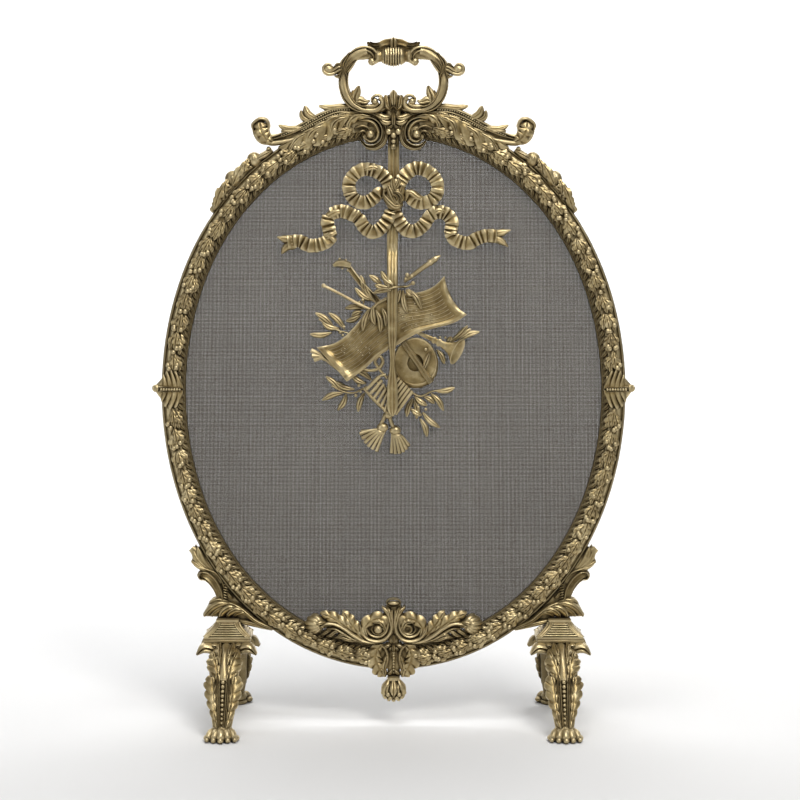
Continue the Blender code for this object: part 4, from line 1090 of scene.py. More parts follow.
def bracket():
    """The scrolled bracket on the viewer's left between the frame and its leg."""
    clay = Clay()
    rim = [(float(x), float(z)) for x, z in (oval_points(a, BAND + 0.5) for a in np.linspace(4.055, 3.80, 9))]
    outline_plate(clay, BRACKET_OUTER + rim, -3.2, 5.0, 1.0)
    face = relief(-3.6, 0.6)
    for surface in (face, bracket_back):
        for path, wide, high in (
            ([(-201, 171), (-206, 177), (-209, 182), (-209.4, 187)], 2.8, 3.6),
            ([(-203, 171), (-211, 178), (-216, 186), (-219, 197)], 5.0, 4.6),
            ([(-205, 171), (-215, 178), (-221, 185), (-223.6, 193)], 4.2, 5.0),
            ([(-206, 170.6), (-216, 175), (-222, 179), (-225.6, 182)], 3.4, 5.2),
        ):
            lobe(clay, surface, path, wide, high, 0, "petal", 16)
        scroll = [
            (-194.6, 140), (-196.6, 149), (-201.4, 157.6), (-207.6, 163.4), (-213, 165.4), (-215.6, 163.6),
        ]
        stroke(
            clay, surface, scroll, [3.8, 4.4, 4.6, 4.4, 3.8, 2.2], [3.6, 4, 4.2, 4, 3.6],
            0, "hollow", 44, 2,
        )
        upper = [
            (-191.4, 139), (-193, 149), (-197.4, 158.4), (-203.6, 165.6), (-210, 169.4), (-215.4, 169),
            (-218, 165),
        ]
        stroke(clay, surface, upper, [1.2, 1.4, 1.4, 1.4, 1.0], [6, 6.6, 6.6, 6], 0, "round", 44, 2)
        ridge = [(-189.6, 152), (-193.4, 161.6), (-200, 169.4), (-209, 173), (-218, 175.6), (-226, 181)]
        stroke(clay, surface, ridge, [1.0, 1.5, 1.5, 1.5, 0.8], [4, 5, 5.4, 5.4, 4.4], 0, "round", 40, 2)
        lower = [(-198, 142), (-201.4, 150), (-206.6, 157), (-211.6, 160.8), (-216, 161.4), (-218.6, 164.6)]
        stroke(clay, surface, lower, [0.8, 0.9, 0.9, 1.2], [4.6, 5, 5], 0, "round", 34, 2)
        for k in range(6):
            z = 141.5 + k * 2.9
            stroke(
                clay, surface, [(-190.4, z), (-186.2 + k * 0.3, z - 1.4)], [1.1, 1.1, 0.7], [3.8, 3.8, 3],
                0, "round", 6,
            )
        for path, wide, high in (
            ([(-128, 103.4), (-143, 109.4), (-156, 116), (-166, 124.6), (-175, 131), (-184, 134.6),
             (-192, 134)], 3.4, 8.6),
            ([(-186, 136.6), (-194, 138), (-200.6, 137.4), (-206, 134.6)], 3.2, 5.6),
            ([(-182, 134), (-194, 134.4), (-203, 130), (-212.6, 120)], 4.8, 9.6),
            ([(-184, 131), (-193, 129.4), (-200, 125), (-204, 119.6)], 4.0, 7.4),
            ([(-174, 130), (-184, 130.4), (-191, 126), (-194.6, 119)], 5.0, 10.6),
            ([(-166, 125.6), (-176, 128), (-183, 124.4), (-186.6, 118.8)], 4.8, 10.2),
            ([(-162, 121.4), (-170, 124.6), (-176, 123.4), (-179.6, 118.8)], 3.4, 8.6),
            ([(-136, 104.6), (-150, 109.6), (-163, 112.6), (-176.4, 115.6)], 3.8, 7.0),
            ([(-186, 147), (-183.6, 142.6), (-180, 139.6)], 2.2, 5.0),
        ):
            lobe(clay, surface, path, wide, high, 0, "petal", 24)
    shell = [(-226, 196), (-216, 186), (-205, 172), (-192, 158)]
    stroke(clay, relief(-3.5), shell, [3.5, 6.5, 6.5, 4], [1.5, 2.5, 2.5], 0, "round", 12, 3)
    return clay


PLINTH = [  # height, half-width and half-depth of the block over each pair of legs
    (118.2, 10.8, 15), (117.4, 12.6, 16.4), (115.8, 12.6, 16.4), (114.6, 12.0, 16.0), (110.5, 13.8, 17),
    (106, 17.6, 19), (102.4, 21.4, 20.8), (100.2, 24.6, 22), (99.4, 25.6, 22.9), (97.2, 26, 23),
    (96.4, 25, 22.4), (95.6, 25.8, 23), (93.4, 25.4, 22.8), (92.5, 23.6, 21.6), (92.4, 14, 13), (88, 13, 12),
    (72.6, 13, 12),
]


def plinth():
    """The waisted block with ridged panels, a moulded foot and a hub below."""
    clay = Clay()
    c = 1.0  # how much its corners are cut off
    rings = []
    for z, half, deep in PLINTH:
        ring = [
            (half, c - deep), (half, deep - c), (half - c, deep), (c - half, deep), (-half, deep - c),
            (-half, c - deep), (c - half, -deep), (half - c, -deep),
        ]
        rings.append([(x - LEG_X, y, z) for x, y in ring])
    clay.skin(np.array(rings))
    heights, halves, deeps = zip(*PLINTH[8:2:-1])

    def panel(side):
        """The sloping side that faces this way; its far is how far out it stands."""
        far = deeps if side[1] else halves

        def place(a, b, h):
            out = np.interp(b, heights, far) + h
            return np.stack([a * side[1] + out * side[0] - LEG_X, a * side[0] + out * side[1], b], -1)

        return place

    for side, table, shrink in (
        ((0, -1), halves, 5.2), ((0, 1), halves, 5.2), ((-1, 0), deeps, 4.6), ((1, 0), deeps, 4.6),
    ):
        surface = panel(side)
        for z in np.arange(101.2, 114.5, 2.35):
            half = np.interp(z, heights, table) - shrink
            stroke(clay, surface, [(-half, z), (half, z)], [0.8], [1.6], 0, "round", 6, 0.5)
        edge = [(np.interp(z, heights, table) - shrink + 1.2, z) for z in (99.6, 103, 107, 111, 114.6)]
        for way in (-1, 1):
            stroke(clay, surface, mirrored(edge, way), [0.9], [1.8], 0, "round", 16, 0.5)
    return clay


LEG = [  # distance from the middle plane and height along a leg, with its half-width and half-thickness
    (12.3, 81.5, 14.5, 7.6), (24, 82.5, 16.5, 8), (38, 80.5, 17.5, 8.4), (50, 73, 18, 8.2), (59, 62, 17, 7.8),
    (67, 47, 16, 7), (75, 31, 14.5, 6), (83, 16, 11.5, 5.4), (88, 7, 10, 5.4),
]


def leg_surface(way):
    """The outer face of a leg. b is how far up the leg looks from the front, at the frame's distance."""
    line = smooth(LEG, 40)
    normal = leftward(directions(line[:, :2]))
    outer = line[:, :2] + normal * line[:, 3:4]
    seen = EYE_Z + (outer[:, 1] - EYE_Z) * FACE_FAR / (EYE_FAR - outer[:, 0])
    keep = np.arange(len(seen)) >= np.argmax(seen)
    order = np.argsort(seen[keep])
    at, y, z = seen[keep][order], outer[keep, 0][order], outer[keep, 1][order]
    ny, nz = normal[keep, 0][order], normal[keep, 1][order]

    def place(a, b, h):
        h = h - np.clip(np.abs(a) / 22, 0, 1) ** 2.2 * 5.5
        yy = np.interp(b, at, y) + np.interp(b, at, ny) * h
        zz = np.interp(b, at, z) + np.interp(b, at, nz) * h
        return np.stack([a * 0.965 - LEG_X, way * yy, zz], -1)

    return place


def shaft(clay, way):
    """The plain curving bar of a leg, with a squarish section."""
    line = smooth(LEG, 28)
    turn = around(22)
    across = np.sign(np.cos(turn)) * np.abs(np.cos(turn)) ** 0.8
    up = np.sign(np.sin(turn)) * np.abs(np.sin(turn)) ** 0.8
    rings = []
    for (y, z, wide, thick), (ay, az) in zip(line, directions(line[:, :2])):
        ring = [across * wide * 0.94 - LEG_X, way * (y - az * up * thick), z + ay * up * thick]
        rings.append(np.stack(ring, 1))
    clay.skin(np.array(rings))


def paw(clay, way):
    """Five toes with claws, on a pad and a low round foot."""
    for x, r in ((-14, 4.8), (-7.2, 5.4), (0, 5.8), (7.2, 5.4), (14, 4.8)):
        y = 104.4 - abs(x) * 0.32
        knuckles = [(x * 0.55, 88, 8.4), (x * 0.8, y - 7, 9), (x, y - 0.5, 5.2)]
        toe = [(a - LEG_X, way * b, c) for a, b, c in knuckles]
        tube(clay, toe, [5.0, r * 0.9, r * 0.74], 10, 12)
        ball(clay, (x * 1.07 - LEG_X, way * (y + 1.6), 3.4), r * 0.56, (1, 1, 0.95))
    ball(clay, (-LEG_X, way * 86, 8.5), 13, (1.0, 0.9, 0.62), 20)
    for x in (-16, -8, 0, 8, 16):
        ball(clay, (x * 0.9 - LEG_X, way * (97 - abs(x) * 0.3), 3.6), 5.2, (1, 1.5, 0.69), 14)
    foot = [(10.6, 0), (12.4, 1.2), (12.4, 4), (9, 6)]
    lathe(clay, foot, (-LEG_X, way * 86, 0), sides=24, squash=(1.1, 1, 1))


def leg(way):
    """One leg of the viewer's left pair: a curving shaft, two tiers of acanthus, a bead row and a paw."""
    clay = Clay()
    shaft(clay, way)
    face = leg_surface(way)
    stroke(clay, face, [(0, 66), (0, 80), (0, 90)], [4, 8, 8.5, 3], [1.4, 2.4, 2], 0, "leaf", 24, 2.5)
    rib = [(-1, 92), (0, 80), (0, 66), (0, 48)]
    stroke(clay, face, rib, [5.4, 4.6, 4.4, 5.2, 6.4], [2, 4.2, 4.2, 2.4], 0, "round", 24, 2.5)
    for side in (-1, 1):
        for path, inner, outer, teeth, high, lift in (
            ([(4, 44), (7, 58), (10.6, 71), (15, 82)], [2, 3, 4, 4, 3, 1], [2, 9, 11, 10, 6, 1], 4, 3.6, 0),
            ([(4, 64), (5, 74), (6.4, 82), (8, 89)], [1, 2, 2.6, 2, 1], [1, 4, 5, 4, 1], 3, 4.6, 0.6),
            ([(4.4, -8), (7.6, 8), (10.4, 26), (11.6, 42), (12.6, 52)], [1, 2, 3, 4, 4, 2],
             [2, 5, 7.6, 10, 11, 5], 6, 4.2, 0.8),
        ):
            left, right = (inner, outer) if side > 0 else (outer, inner)
            heights = [high * 0.7, high, high, high * 0.7]
            acanthus(clay, face, mirrored(path, side), left, right, teeth, heights, lift, 0.7, 8, 2.5, 1.6)
        for path, wide, high, section, steps, thick in (
            ([(5, 20), (6.6, 36), (6.8, 48), (6.4, 57)], [0.75, 1.5, 1.5, 0.6], [2, 5, 5.4, 3],
             "leaf", 14, 2.5),
            ([(5.6, 10), (8.6, 30), (10, 46), (9.8, 56)], [1, 2, 2, 0.6], [2, 5, 5.4, 3], "leaf", 14, 2.5),
            ([(4.4, -6), (5.4, 16), (6.2, 42)], [0.7, 1.0, 1.3], [3.4, 4.2, 4.6], "round", 20, 2),
            ([(2.8, -8), (3.4, 14), (4.2, 44)], [0.7, 1.0, 1.3], [3.4, 4.2, 4.6], "round", 20, 2),
        ):
            stroke(clay, face, mirrored(path, side), wide, high, 0, section, steps, thick)
        for far, path, wide, high, lift, steps in (
            (27, [(9, 80), (16, 86), (25, 87.5), (33, 81)], [3.5, 6, 6, 1.4], [4, 7, 8, 5],
             [-6, -4, -3, -1], 18),
            (21, [(11, 86), (19, 90), (27, 86)], [3, 5, 1.4], [4, 6, 5], [-5, -3, -1], 14),
            (24, [(7, 84), (12, 90), (16, 91.4)], [3, 4, 1.4], [4, 6, 5], [0, 0, 1], 12),
        ):
            stroke(clay, relief_at(way, far), mirrored(path, side), wide, high, lift, "leaf", steps, 6)
    beads(clay, face, [(0, 45.5), (0, 20), (0, -6)], 5.0, [2.5, 2.0, 1.2], 1.6)
    paw(clay, way)
    return clay


def relief_at(way, distance):
    """A flat drawing surface that far in front of (way -1) or behind (way 1) the middle plane, at a leg."""
    return lambda a, b, h: np.stack([a - LEG_X, way * (distance + h), b], -1)


def build_legs(gilt, brown, rear_leg_painted_shade):
    pair("scroll_bracket", bracket(), brown, "leg_bracket")
    pair("ridged_plinth", plinth(), gilt, "leg_block")
    pair("front_acanthus_leg", leg(-1), gilt, "front_leg")
    # The rear legs take the darker frame bronze as painted shade.
    pair("rear_acanthus_leg", leg(1), rear_leg_painted_shade, "rear_leg")


# ---------------------------------------------------------------- bow, strap and trophy


def strap():
    """A ridged strap that hangs from the crest and steps forward over the sheet of music."""
    clay = Clay()
    side_view = [
        (650, -4.4, 6.2), (600, -4.4, 6.2), (560, -4.4, 6.2), (534, -4.4, 6.1), (524, -5.6, 6.0),
        (514, -11.6, 5.8), (504, -17, 5.6), (494, -18.2, 5.6), (480, -18.4, 5.6), (450, -18.4, 5.2),
        (430, -18.2, 4.6), (417, -17.6, 3.2), (408, -17.6, 2.6), (398, -17.8, 3.0), (380, -18, 5.4),
        (365, -18.2, 6.0), (355, -18, 5.8), (349, -17.4, 4.4), (345.6, -16.4, 2.0),
    ]
    line = smooth([(-z, y, half) for z, y, half in side_view], 70)
    v = np.linspace(-1, 1, 15)
    ridges = 0.9 * np.abs(np.cos(v * np.pi * 1.5)) ** 0.8
    rings = []
    for z, y, half in line:
        step_back = float(np.interp(-z, [508, 522], [3.2, 5.2]))
        lean = float(np.interp(-z, [540, 590], [-1.3, 0.0]))
        front = np.stack([v * half + lean, y - ridges * min(1.0, half / 4) + 0.35 * v**4, np.full(15, -z)], 1)
        rear = [(0.96 * half + lean, y + step_back, -z), (lean - 0.96 * half, y + step_back, -z)]
        rings.append(np.vstack([front, rear]))
    clay.skin(np.array(rings))
    return clay


def pleated(clay, surface, path, wide, pleat, deep, lift=4.0, phase=0.0):
    """A cast ribbon gathered into crosswise pleats, each with a long face and a short steep one."""
    length = np.linalg.norm(np.diff(smooth(path, 40), axis=0), axis=1).sum()
    steps = int(length / pleat * 8)
    at = np.linspace(0, length, steps + 1)
    turn = (at / pleat + 0.16 * np.sin(at * 0.29 + phase) + phase) % 1
    wave = np.where(turn < 0.72, np.sin(np.pi / 2 * turn / 0.72), np.cos(np.pi / 2 * (turn - 0.72) / 0.28))
    uneven = 1 + 0.35 * np.sin(at * 0.37 + phase * 3) * np.cos(at * 0.23)
    rise = spread(lift, steps + 1) + deep * (wave - 1) * uneven
    half = spread(wide, steps + 1) * (0.96 + 0.07 * wave)
    stroke(clay, surface, path, half, np.full(steps + 1, 1.2), rise, "flat", steps, 4.2)


def bow_loop(side):
    """A loop of the bow, on the viewer's left (side -1) or right: one run of ribbon passes over another."""
    clay = Clay()
    face = relief(-4.9, 1.4)
    if side < 0:
        under = [(-9, 590), (-17, 590.6), (-23, 585), (-31, 580.2), (-41, 581), (-48, 588), (-50.4, 597)]
        over = [
            (-49, 588), (-50.6, 600), (-45, 610), (-36, 615.6), (-27, 615.8), (-17, 612), (-9.6, 605),
            (-5, 594),
        ]
        pleated(clay, face, under, [5.4, 7, 7.4, 7.2, 7.0], 6.0, 2.4, 4.4)
        pleated(clay, face, over, [7.0, 7.1, 7.2, 7.2, 7.4, 7.2, 6.4], 6.4, 2.5, [5.4, 5.8, 6.4, 7.0], 0.3)
        lobe(clay, face, [(-37, 614.6), (-29, 617), (-21, 617.6), (-14, 613)], 4.6, 8.0, 0, "petal", 16)
        return clay
    under = [(7, 588), (15, 587), (22, 581), (31, 579.4), (41, 583), (46.6, 591), (47, 599)]
    over = [(46, 589), (47.2, 598), (43, 608), (34, 615), (23.6, 617.2), (13.6, 612), (7, 603), (3, 593)]
    pleated(clay, face, under, [5.4, 7, 7.2, 7.2, 7.0], 6.2, 2.4, 4.4, 0.5)
    pleated(clay, face, over, [7.0, 7.1, 7.2, 7.4, 7.4, 7.2, 6.2], 6.4, 2.5, [5.4, 5.8, 6.4, 7.0], 0.8)
    lobe(clay, face, [(10, 590), (18, 590.6), (25, 585.6), (33, 583.4)], 4.6, 7.4, 0, "petal", 16)
    return clay


def bow_tail(side):
    """One trailing end of the ribbon. It folds over itself twice and ends in a swallow tail."""
    clay = Clay()
    face = relief(-4.9, 1.4)
    if side < 0:
        runs = (
            ([(-4, 571), (-8, 561), (-15, 552), (-24, 547.4), (-33, 552), (-39, 561), (-47, 568)], 4.4, 0.1),
            ([(-42, 563), (-50, 568), (-60, 570.4), (-70, 567.4)], 4.8, 0.6),
            ([(-73, 566), (-74, 557), (-72, 549), (-71, 543)], 3.8, 0.2),
            ([(-68, 544), (-74, 537.4), (-84, 533.4), (-95, 533), (-105, 537.4), (-118, 536.6)], 4.8, 0.9),
        )
        ends = (((-110, 540), (-120, 539.6), (-129.5, 542)), ((-110, 533.6), (-119, 531.4), (-125, 523.6)))
        folds = (
            ([(-56, 570), (-66, 568.6), (-77, 563)], 5.4),
            ([(-64, 546.6), (-72, 543.6), (-79, 539)], 4.6),
        )
    else:
        runs = (
            ([(0, 571), (4, 561), (11, 551), (21, 548.4), (31, 554.4), (37, 563), (44, 569)], 4.4, 0.5),
            ([(37, 565), (46, 569.6), (56, 567.6), (62.6, 560), (62, 551), (61, 546)], 4.8, 0.3),
            ([(60, 550), (64, 541), (73, 536.4), (82, 535.6), (91, 540.6), (101, 543.6), (112, 543)],
             5.0, 0.7),
        )
        ends = (((103, 546.6), (115, 546.4), (127.5, 549.8)), ((103, 540.6), (115, 539), (124.8, 531.6)))
        folds = (([(40, 566), (49, 571), (58, 568)], 4.4),)
    for path, lift, phase in runs:
        pleated(clay, face, path, [6.4, 7.2, 7.4, 7.4, 7.2, 7.0], 6.2, 2.4, lift, phase)
    for path, wide in folds:
        lobe(clay, face, path, wide, 6.6, 0, "petal", 14)
    for path in ends:
        stroke(clay, face, path, [4.6, 4.8, 4.0, 0.8], [4.6, 4.6, 3.6], 0, "petal", 12, 1.5)
    return clay


def knot():
    """Folds of ribbon wound over one another."""
    clay = Clay()
    face = relief(-6.0, 1.4)
    ball(clay, (0.4, -8.6, 583), 10.2, (1.0, 0.5, 1.15), 20)
    for path, wide, high in (
        ([(-9, 602), (-5, 592), (0, 581), (5, 574)], 5.0, 9.6),
        ([(9, 602), (7, 592), (1, 581), (-5, 574)], 4.6, 9.0),
        ([(-13, 589), (-7, 581), (1, 575), (9, 578)], 4.4, 10.6),
        ([(-2, 608), (-2, 598), (2, 588)], 4.4, 9.0),
        ([(6, 608), (3, 599), (-2, 592)], 4.0, 8.4),
        ([(-4, 591), (4, 590), (8, 584), (4, 578)], 3.2, 11.8),
        ([(-5, 586), (-1, 588), (3, 585), (1, 580)], 2.0, 12.6),
    ):
        lobe(clay, face, path, wide, high, 0, "petal", 20)
    return clay


def sheet_surface():
    """The sheet of music: u runs along it from the viewer's left, and v from its lower to its upper edge."""
    lower = [
        (-53, 383), (-41, 391.5), (-30, 400), (-20, 409.4), (-8, 417.6), (4, 424), (16, 431.6),
        (30, 438.4), (50, 443.6), (66, 448.4), (79.5, 457),
    ]
    upper = [
        (-86, 421), (-70, 424), (-58, 430.4), (-45, 443), (-34, 456), (-24, 466.6), (-12, 475), (2, 479.4),
        (20, 480.4), (35, 484), (46, 490.4), (54.5, 499.4),
    ]
    lower, upper = smooth(lower, 60), smooth(upper, 60)
    left = smooth([(-53, 383), (-60, 391.5), (-72, 405), (-86, 421)], 60)
    right = smooth([(79.5, 457), (70, 464), (62.4, 475), (57.4, 487), (54.5, 499.4)], 60)
    stations = np.linspace(0, 1, 61)

    def pick(curve, t):
        return np.stack([np.interp(t, stations, curve[:, 0]), np.interp(t, stations, curve[:, 1])], -1)

    def place(u, v, h):
        u, v = np.clip(u, 0, 1), np.clip(v, 0, 1)
        u2, v2 = u[..., None], v[..., None]
        flat = (1 - v2) * pick(lower, u) + v2 * pick(upper, u)
        flat = flat + (1 - u2) * pick(left, v) + u2 * pick(right, v)
        flat = flat - (1 - v2) * ((1 - u2) * lower[0] + u2 * lower[-1])
        flat = flat - v2 * ((1 - u2) * upper[0] + u2 * upper[-1])
        roll = 1.8 * np.cos(u * 2 * np.pi * 1.15 + 0.5) + 2.0 * np.exp(-((v / 0.12) ** 2))
        roll = roll + 0.55 * np.sin(v * 2 * np.pi * 3.2 + 1.4 * np.sin(u * 5)) * np.clip(v * 6, 0, 1)
        return np.stack([flat[..., 0] + 1.4, -12.6 - roll * 0.55 - h, flat[..., 1]], -1)

    return place


def music_sheet():
    """A curling sheet with a raised rim. It carries only plain ridges and dots, in two columns."""
    clay = Clay()
    surface = sheet_surface()
    u = np.linspace(0, 1, 90)[:, None]
    v = np.linspace(0, 1, 44)[None, :]
    uu, vv = u + 0 * v, v + 0 * u
    rim = 1.5 * np.exp(-((uu - 0.03) / 0.02) ** 2) + 1.4 * np.exp(-((uu - 0.982) / 0.016) ** 2)
    rim += 1.6 * np.exp(-((vv - 0.06) / 0.05) ** 2)
    rim += 0.5 * np.exp(-((vv - 0.97) / 0.03) ** 2)
    front = surface(uu, vv, 1.3 * rim)
    back = surface(uu, vv, -1.3 + 0 * uu)
    clay.skin(np.concatenate([front, back[:, ::-1]], 1))
    rng = random.Random(11)
    for k in range(9):
        level = 0.17 + 0.088 * k
        for start, end in ((0.06, 0.47), (0.56, 0.94)):
            stroke(
                clay, surface, [(start, level), ((start + end) / 2, level), (end, level)], [0.011], [0.8],
                0, "round", 24, 0.5,
            )
        for _ in range(4):
            at = rng.choice((rng.uniform(0.08, 0.42), rng.uniform(0.6, 0.92)))
            centre = surface(np.array([at]), np.array([level + 0.044]), np.array([0.3]))[0]
            ball(clay, centre, rng.uniform(0.8, 1.2), (1, 0.8, 1), 8)
    for k, (x, z) in enumerate(((-92.4, 417.6), (-91.6, 411.6), (-89.4, 406.4))):
        stroke(
            clay, relief(-10.7 - 0.2 * k, 1.4), [(-52, 388 + k), (-68, 400 + k), (-80, 411 - k), (x, z)],
            [1.0, 1.3, 2.2, 2.2], [1.2, 1.6, 1.8, 1.4], 0, "keel", 14, 0.4,
        )
    return clay


def lute():
    """A bowl with a rim, a sound hole under its strings, and a neck with a bent pegbox."""
    clay = Clay()
    turn = around(56)
    x, z = 24.0, 403.5
    rings = []
    for grow, y in (
        (0.80, -0.3), (0.96, -1.4), (1.03, -4.0), (1.03, -6.6), (1.0, -8.0), (0.965, -9.4), (0.93, -9.6),
        (0.90, -8.9), (0.6, -8.7), (0.36, -8.7), (0.34, -4.0), (0.02, -4.0),
    ):
        a, b = 24.5 * grow, 27 * grow * (1 + 0.06 * np.sin(turn))
        px, pz = a * np.cos(turn), b * np.sin(turn)
        rings.append(np.stack([x + px + (y + 9.6) * 0.05, np.full_like(px, y), z + pz - (y + 9.6) * 0.45], 1))
    clay.skin(np.array(rings))
    face = relief(-9.3, 1.4)
    stroke(
        clay, face, [(9, 427), (24, 405), (40, 381.5)], [3.6, 3.6, 3.8], [2.2, 2.6, 2.2],
        0, "flat", 16, 0.4,
    )
    for k in range(4):
        off = -2.6 + 1.7 * k
        stroke(
            clay, face, [(9 + off * 0.8, 427 + off * 0.56), (40 + off * 0.8, 381.5 + off * 0.56)], [0.45],
            [2.9], 0, "round", 4, 0.4,
        )
    stroke(
        clay, face, [(32, 397), (35, 405), (39, 416)], [1.6, 3.2, 3, 0.6], [2.4, 3, 2.2],
        0, "leaf", 12, 0.5,
    )
    ball(clay, (35.6, -10.2, 418.4), 2.0)
    neck = relief(-1.4, 1.4)
    stroke(
        clay, neck, [(-6, 452), (-20, 472.5), (-33, 486), (-43, 498), (-51, 509)],
        [4.2, 4.0, 3.6, 3.3, 3.0], [3, 4.4, 4.4, 4], 0, "channel", 24, 1.8,
    )
    stroke(
        clay, neck, [(-49, 510.4), (-56, 512.6), (-63, 512.8), (-68, 510.6)], [3.4, 4.4, 4.2, 2.0],
        [4, 4.6, 4.4, 3.6], 0, "flat", 12, 1.8,
    )
    for px, pz in ((-54, 517), (-61, 518.2), (-58, 507.4), (-52, 505.4)):
        ball(clay, (px + 1.4, -3.6, pz), 1.2, sides=8)
    return clay


def trumpet():
    """A tapering pipe with moulded rings and a flared, open bell."""
    clay = Clay()
    y = -6.8
    tube(clay, [(-76.6, y, 488.2), (-60, y, 480), (-42, y, 470)], [1.7, 1.6, 1.8], 12, 12)
    ball(clay, (-77.2, y, 488.6), 2.6, (1, 1, 1), 12)
    tube(clay, [(-42, y, 470), (-8, y, 453.6), (28, y, 436.4)], [1.8, 2, 2.2], 12, 12)
    axis, across = np.array([0.90, 0.0, -0.436]), np.array([0.436, 0.0, 0.90])
    profile = [
        (2.2, 0), (2.3, 8), (2.5, 14), (2.6, 17), (3.8, 18), (4.0, 19.4), (2.8, 20.6), (3.0, 23),
        (4.4, 24.2), (4.5, 25.6), (3.2, 27), (3.8, 30), (5.0, 34.6), (7.2, 39), (10.4, 43), (14.4, 46.6),
        (15.6, 47.6), (14.6, 48), (11.6, 46), (8.6, 42), (6.0, 37), (3.4, 32),
    ]
    turn = around(32)
    rings = []
    for r, along in profile:
        middle = np.array([28.0, y, 436.6]) + axis * along
        lean = np.outer(np.sin(turn) * r, np.array([0, -0.3, 0]) - 0.34 * axis)
        rings.append(middle + np.outer(np.cos(turn) * r, across) + lean)
    clay.skin(np.array(rings))
    return clay


def small_flute():
    """A short pipe with finger holes and a pointed cap, behind the strap."""
    clay = Clay()
    y = -4.6
    tube(clay, [(12, y, 493), (20, y, 499), (32, y, 508), (40, y, 513.6)], [1.6, 2.4, 2.7, 2.8], 14, 12)
    for t in (0.2, 0.45, 0.7):
        ball(clay, (15 + 26 * t, y - 2.2, 495 + 18.6 * t), 0.9, sides=8)
    ball(clay, (40.4, y, 514), 3.7, (1, 0.9, 1), 14)
    tube(clay, [(41, y, 514.4), (46, y, 518), (51.6, y, 521.6)], [3.0, 3.4, 0.7], 10, 12)
    return clay


def pipes_of_pan():
    """Two fans of short pipes that slant down to a point under the strap."""
    clay = Clay()
    y = -12.4
    for t in np.linspace(0, 1, 6):
        tube(clay, [(-30 + 20 * t, y, 374 - 24 * t), (-15.6 + 12 * t, y, 388.4 - 22 * t)], [2.1], 6)
        tube(clay, [(-6 + 8 * t, y, 373 - 26 * t), (6 + 14.4 * t, y, 386.6 - 14.6 * t)], [2.1], 6)
    face = relief(-10.6, 1.4)
    stroke(
        clay, face, [(-34, 375), (-22, 362), (-9, 350), (-1, 345)], [1.6, 2.2, 2.2, 1.4], [3, 3.4, 3.4, 3],
        0, "round", 16, 0.3,
    )
    stroke(
        clay, face, [(-30, 374), (-26, 380), (-18, 388), (-10, 391)], [1.4, 1.8, 1.6], [3, 3.2, 3],
        0, "round", 14, 0.3,
    )
    stroke(clay, face, [(-8, 376), (4, 362)], [9, 8], [1.2], 0, "flat", 8, 0.3)
    for x, z in ((-21, 376), (-14, 372), (-8, 380)):
        stroke(
            clay, face, [(x, z + 9), (x + 3, z + 3), (x - 1, z - 4)], [0.8, 1.6, 0.7], [3.4, 4, 3],
            0, "round", 10, 0.3,
        )
    cord = [(-38, 399), (-28, 395), (-18, 397.4), (-13, 405), (-17, 411), (-22, 405), (-16, 395), (-8, 386)]
    stroke(clay, face, cord, [1.5, 2.0, 1.8, 1.4], [2.4, 3, 2.4], 0, "round", 40, 0.3)
    return clay


def front_of_strap(x):
    """How far a twig on the sheet's plane rises to pass in front of the strap."""
    return float(8.2 * np.exp(-(((x + 1.6) / 8.5) ** 4)))


def spray(stem, leaves, berries, y, arch=False):
    """Laurel leaves and berries on a twig, which passes over the strap where arch is true.

    Each leaf is its base and its tip, and each berry its middle and its radius.
    """
    clay = Clay()
    face = relief(y, 1.4)
    lift = [front_of_strap(x) if arch else 0 for x, _ in smooth(stem, 26)]
    stroke(clay, face, stem, [1.3, 1.2, 0.9], [2.2, 2.2, 1.6], lift, "round", 26, 1.2)
    for k, (x0, z0, x1, z1) in enumerate(leaves):
        over = [front_of_strap(x0), 3.0, 2.4] if arch else [0, 0.5, 0.3]
        bow = 0.09 if k % 2 else -0.07
        mid = ((x0 + x1) / 2 - (z1 - z0) * bow, (z0 + z1) / 2 + (x1 - x0) * bow)
        stroke(
            clay, face, [(x0, z0), mid, (x1, z1)], [0.9, 2.4, 3.3, 3.5, 2.8, 0.8],
            [1.6, 2.6, 2.8, 2.4, 1.2], over, "leaf", 14, 1.4,
        )
    for x, z, r in berries:
        ball(clay, (x + 1.4, y - 1.4, z), r, sides=12)
    return clay


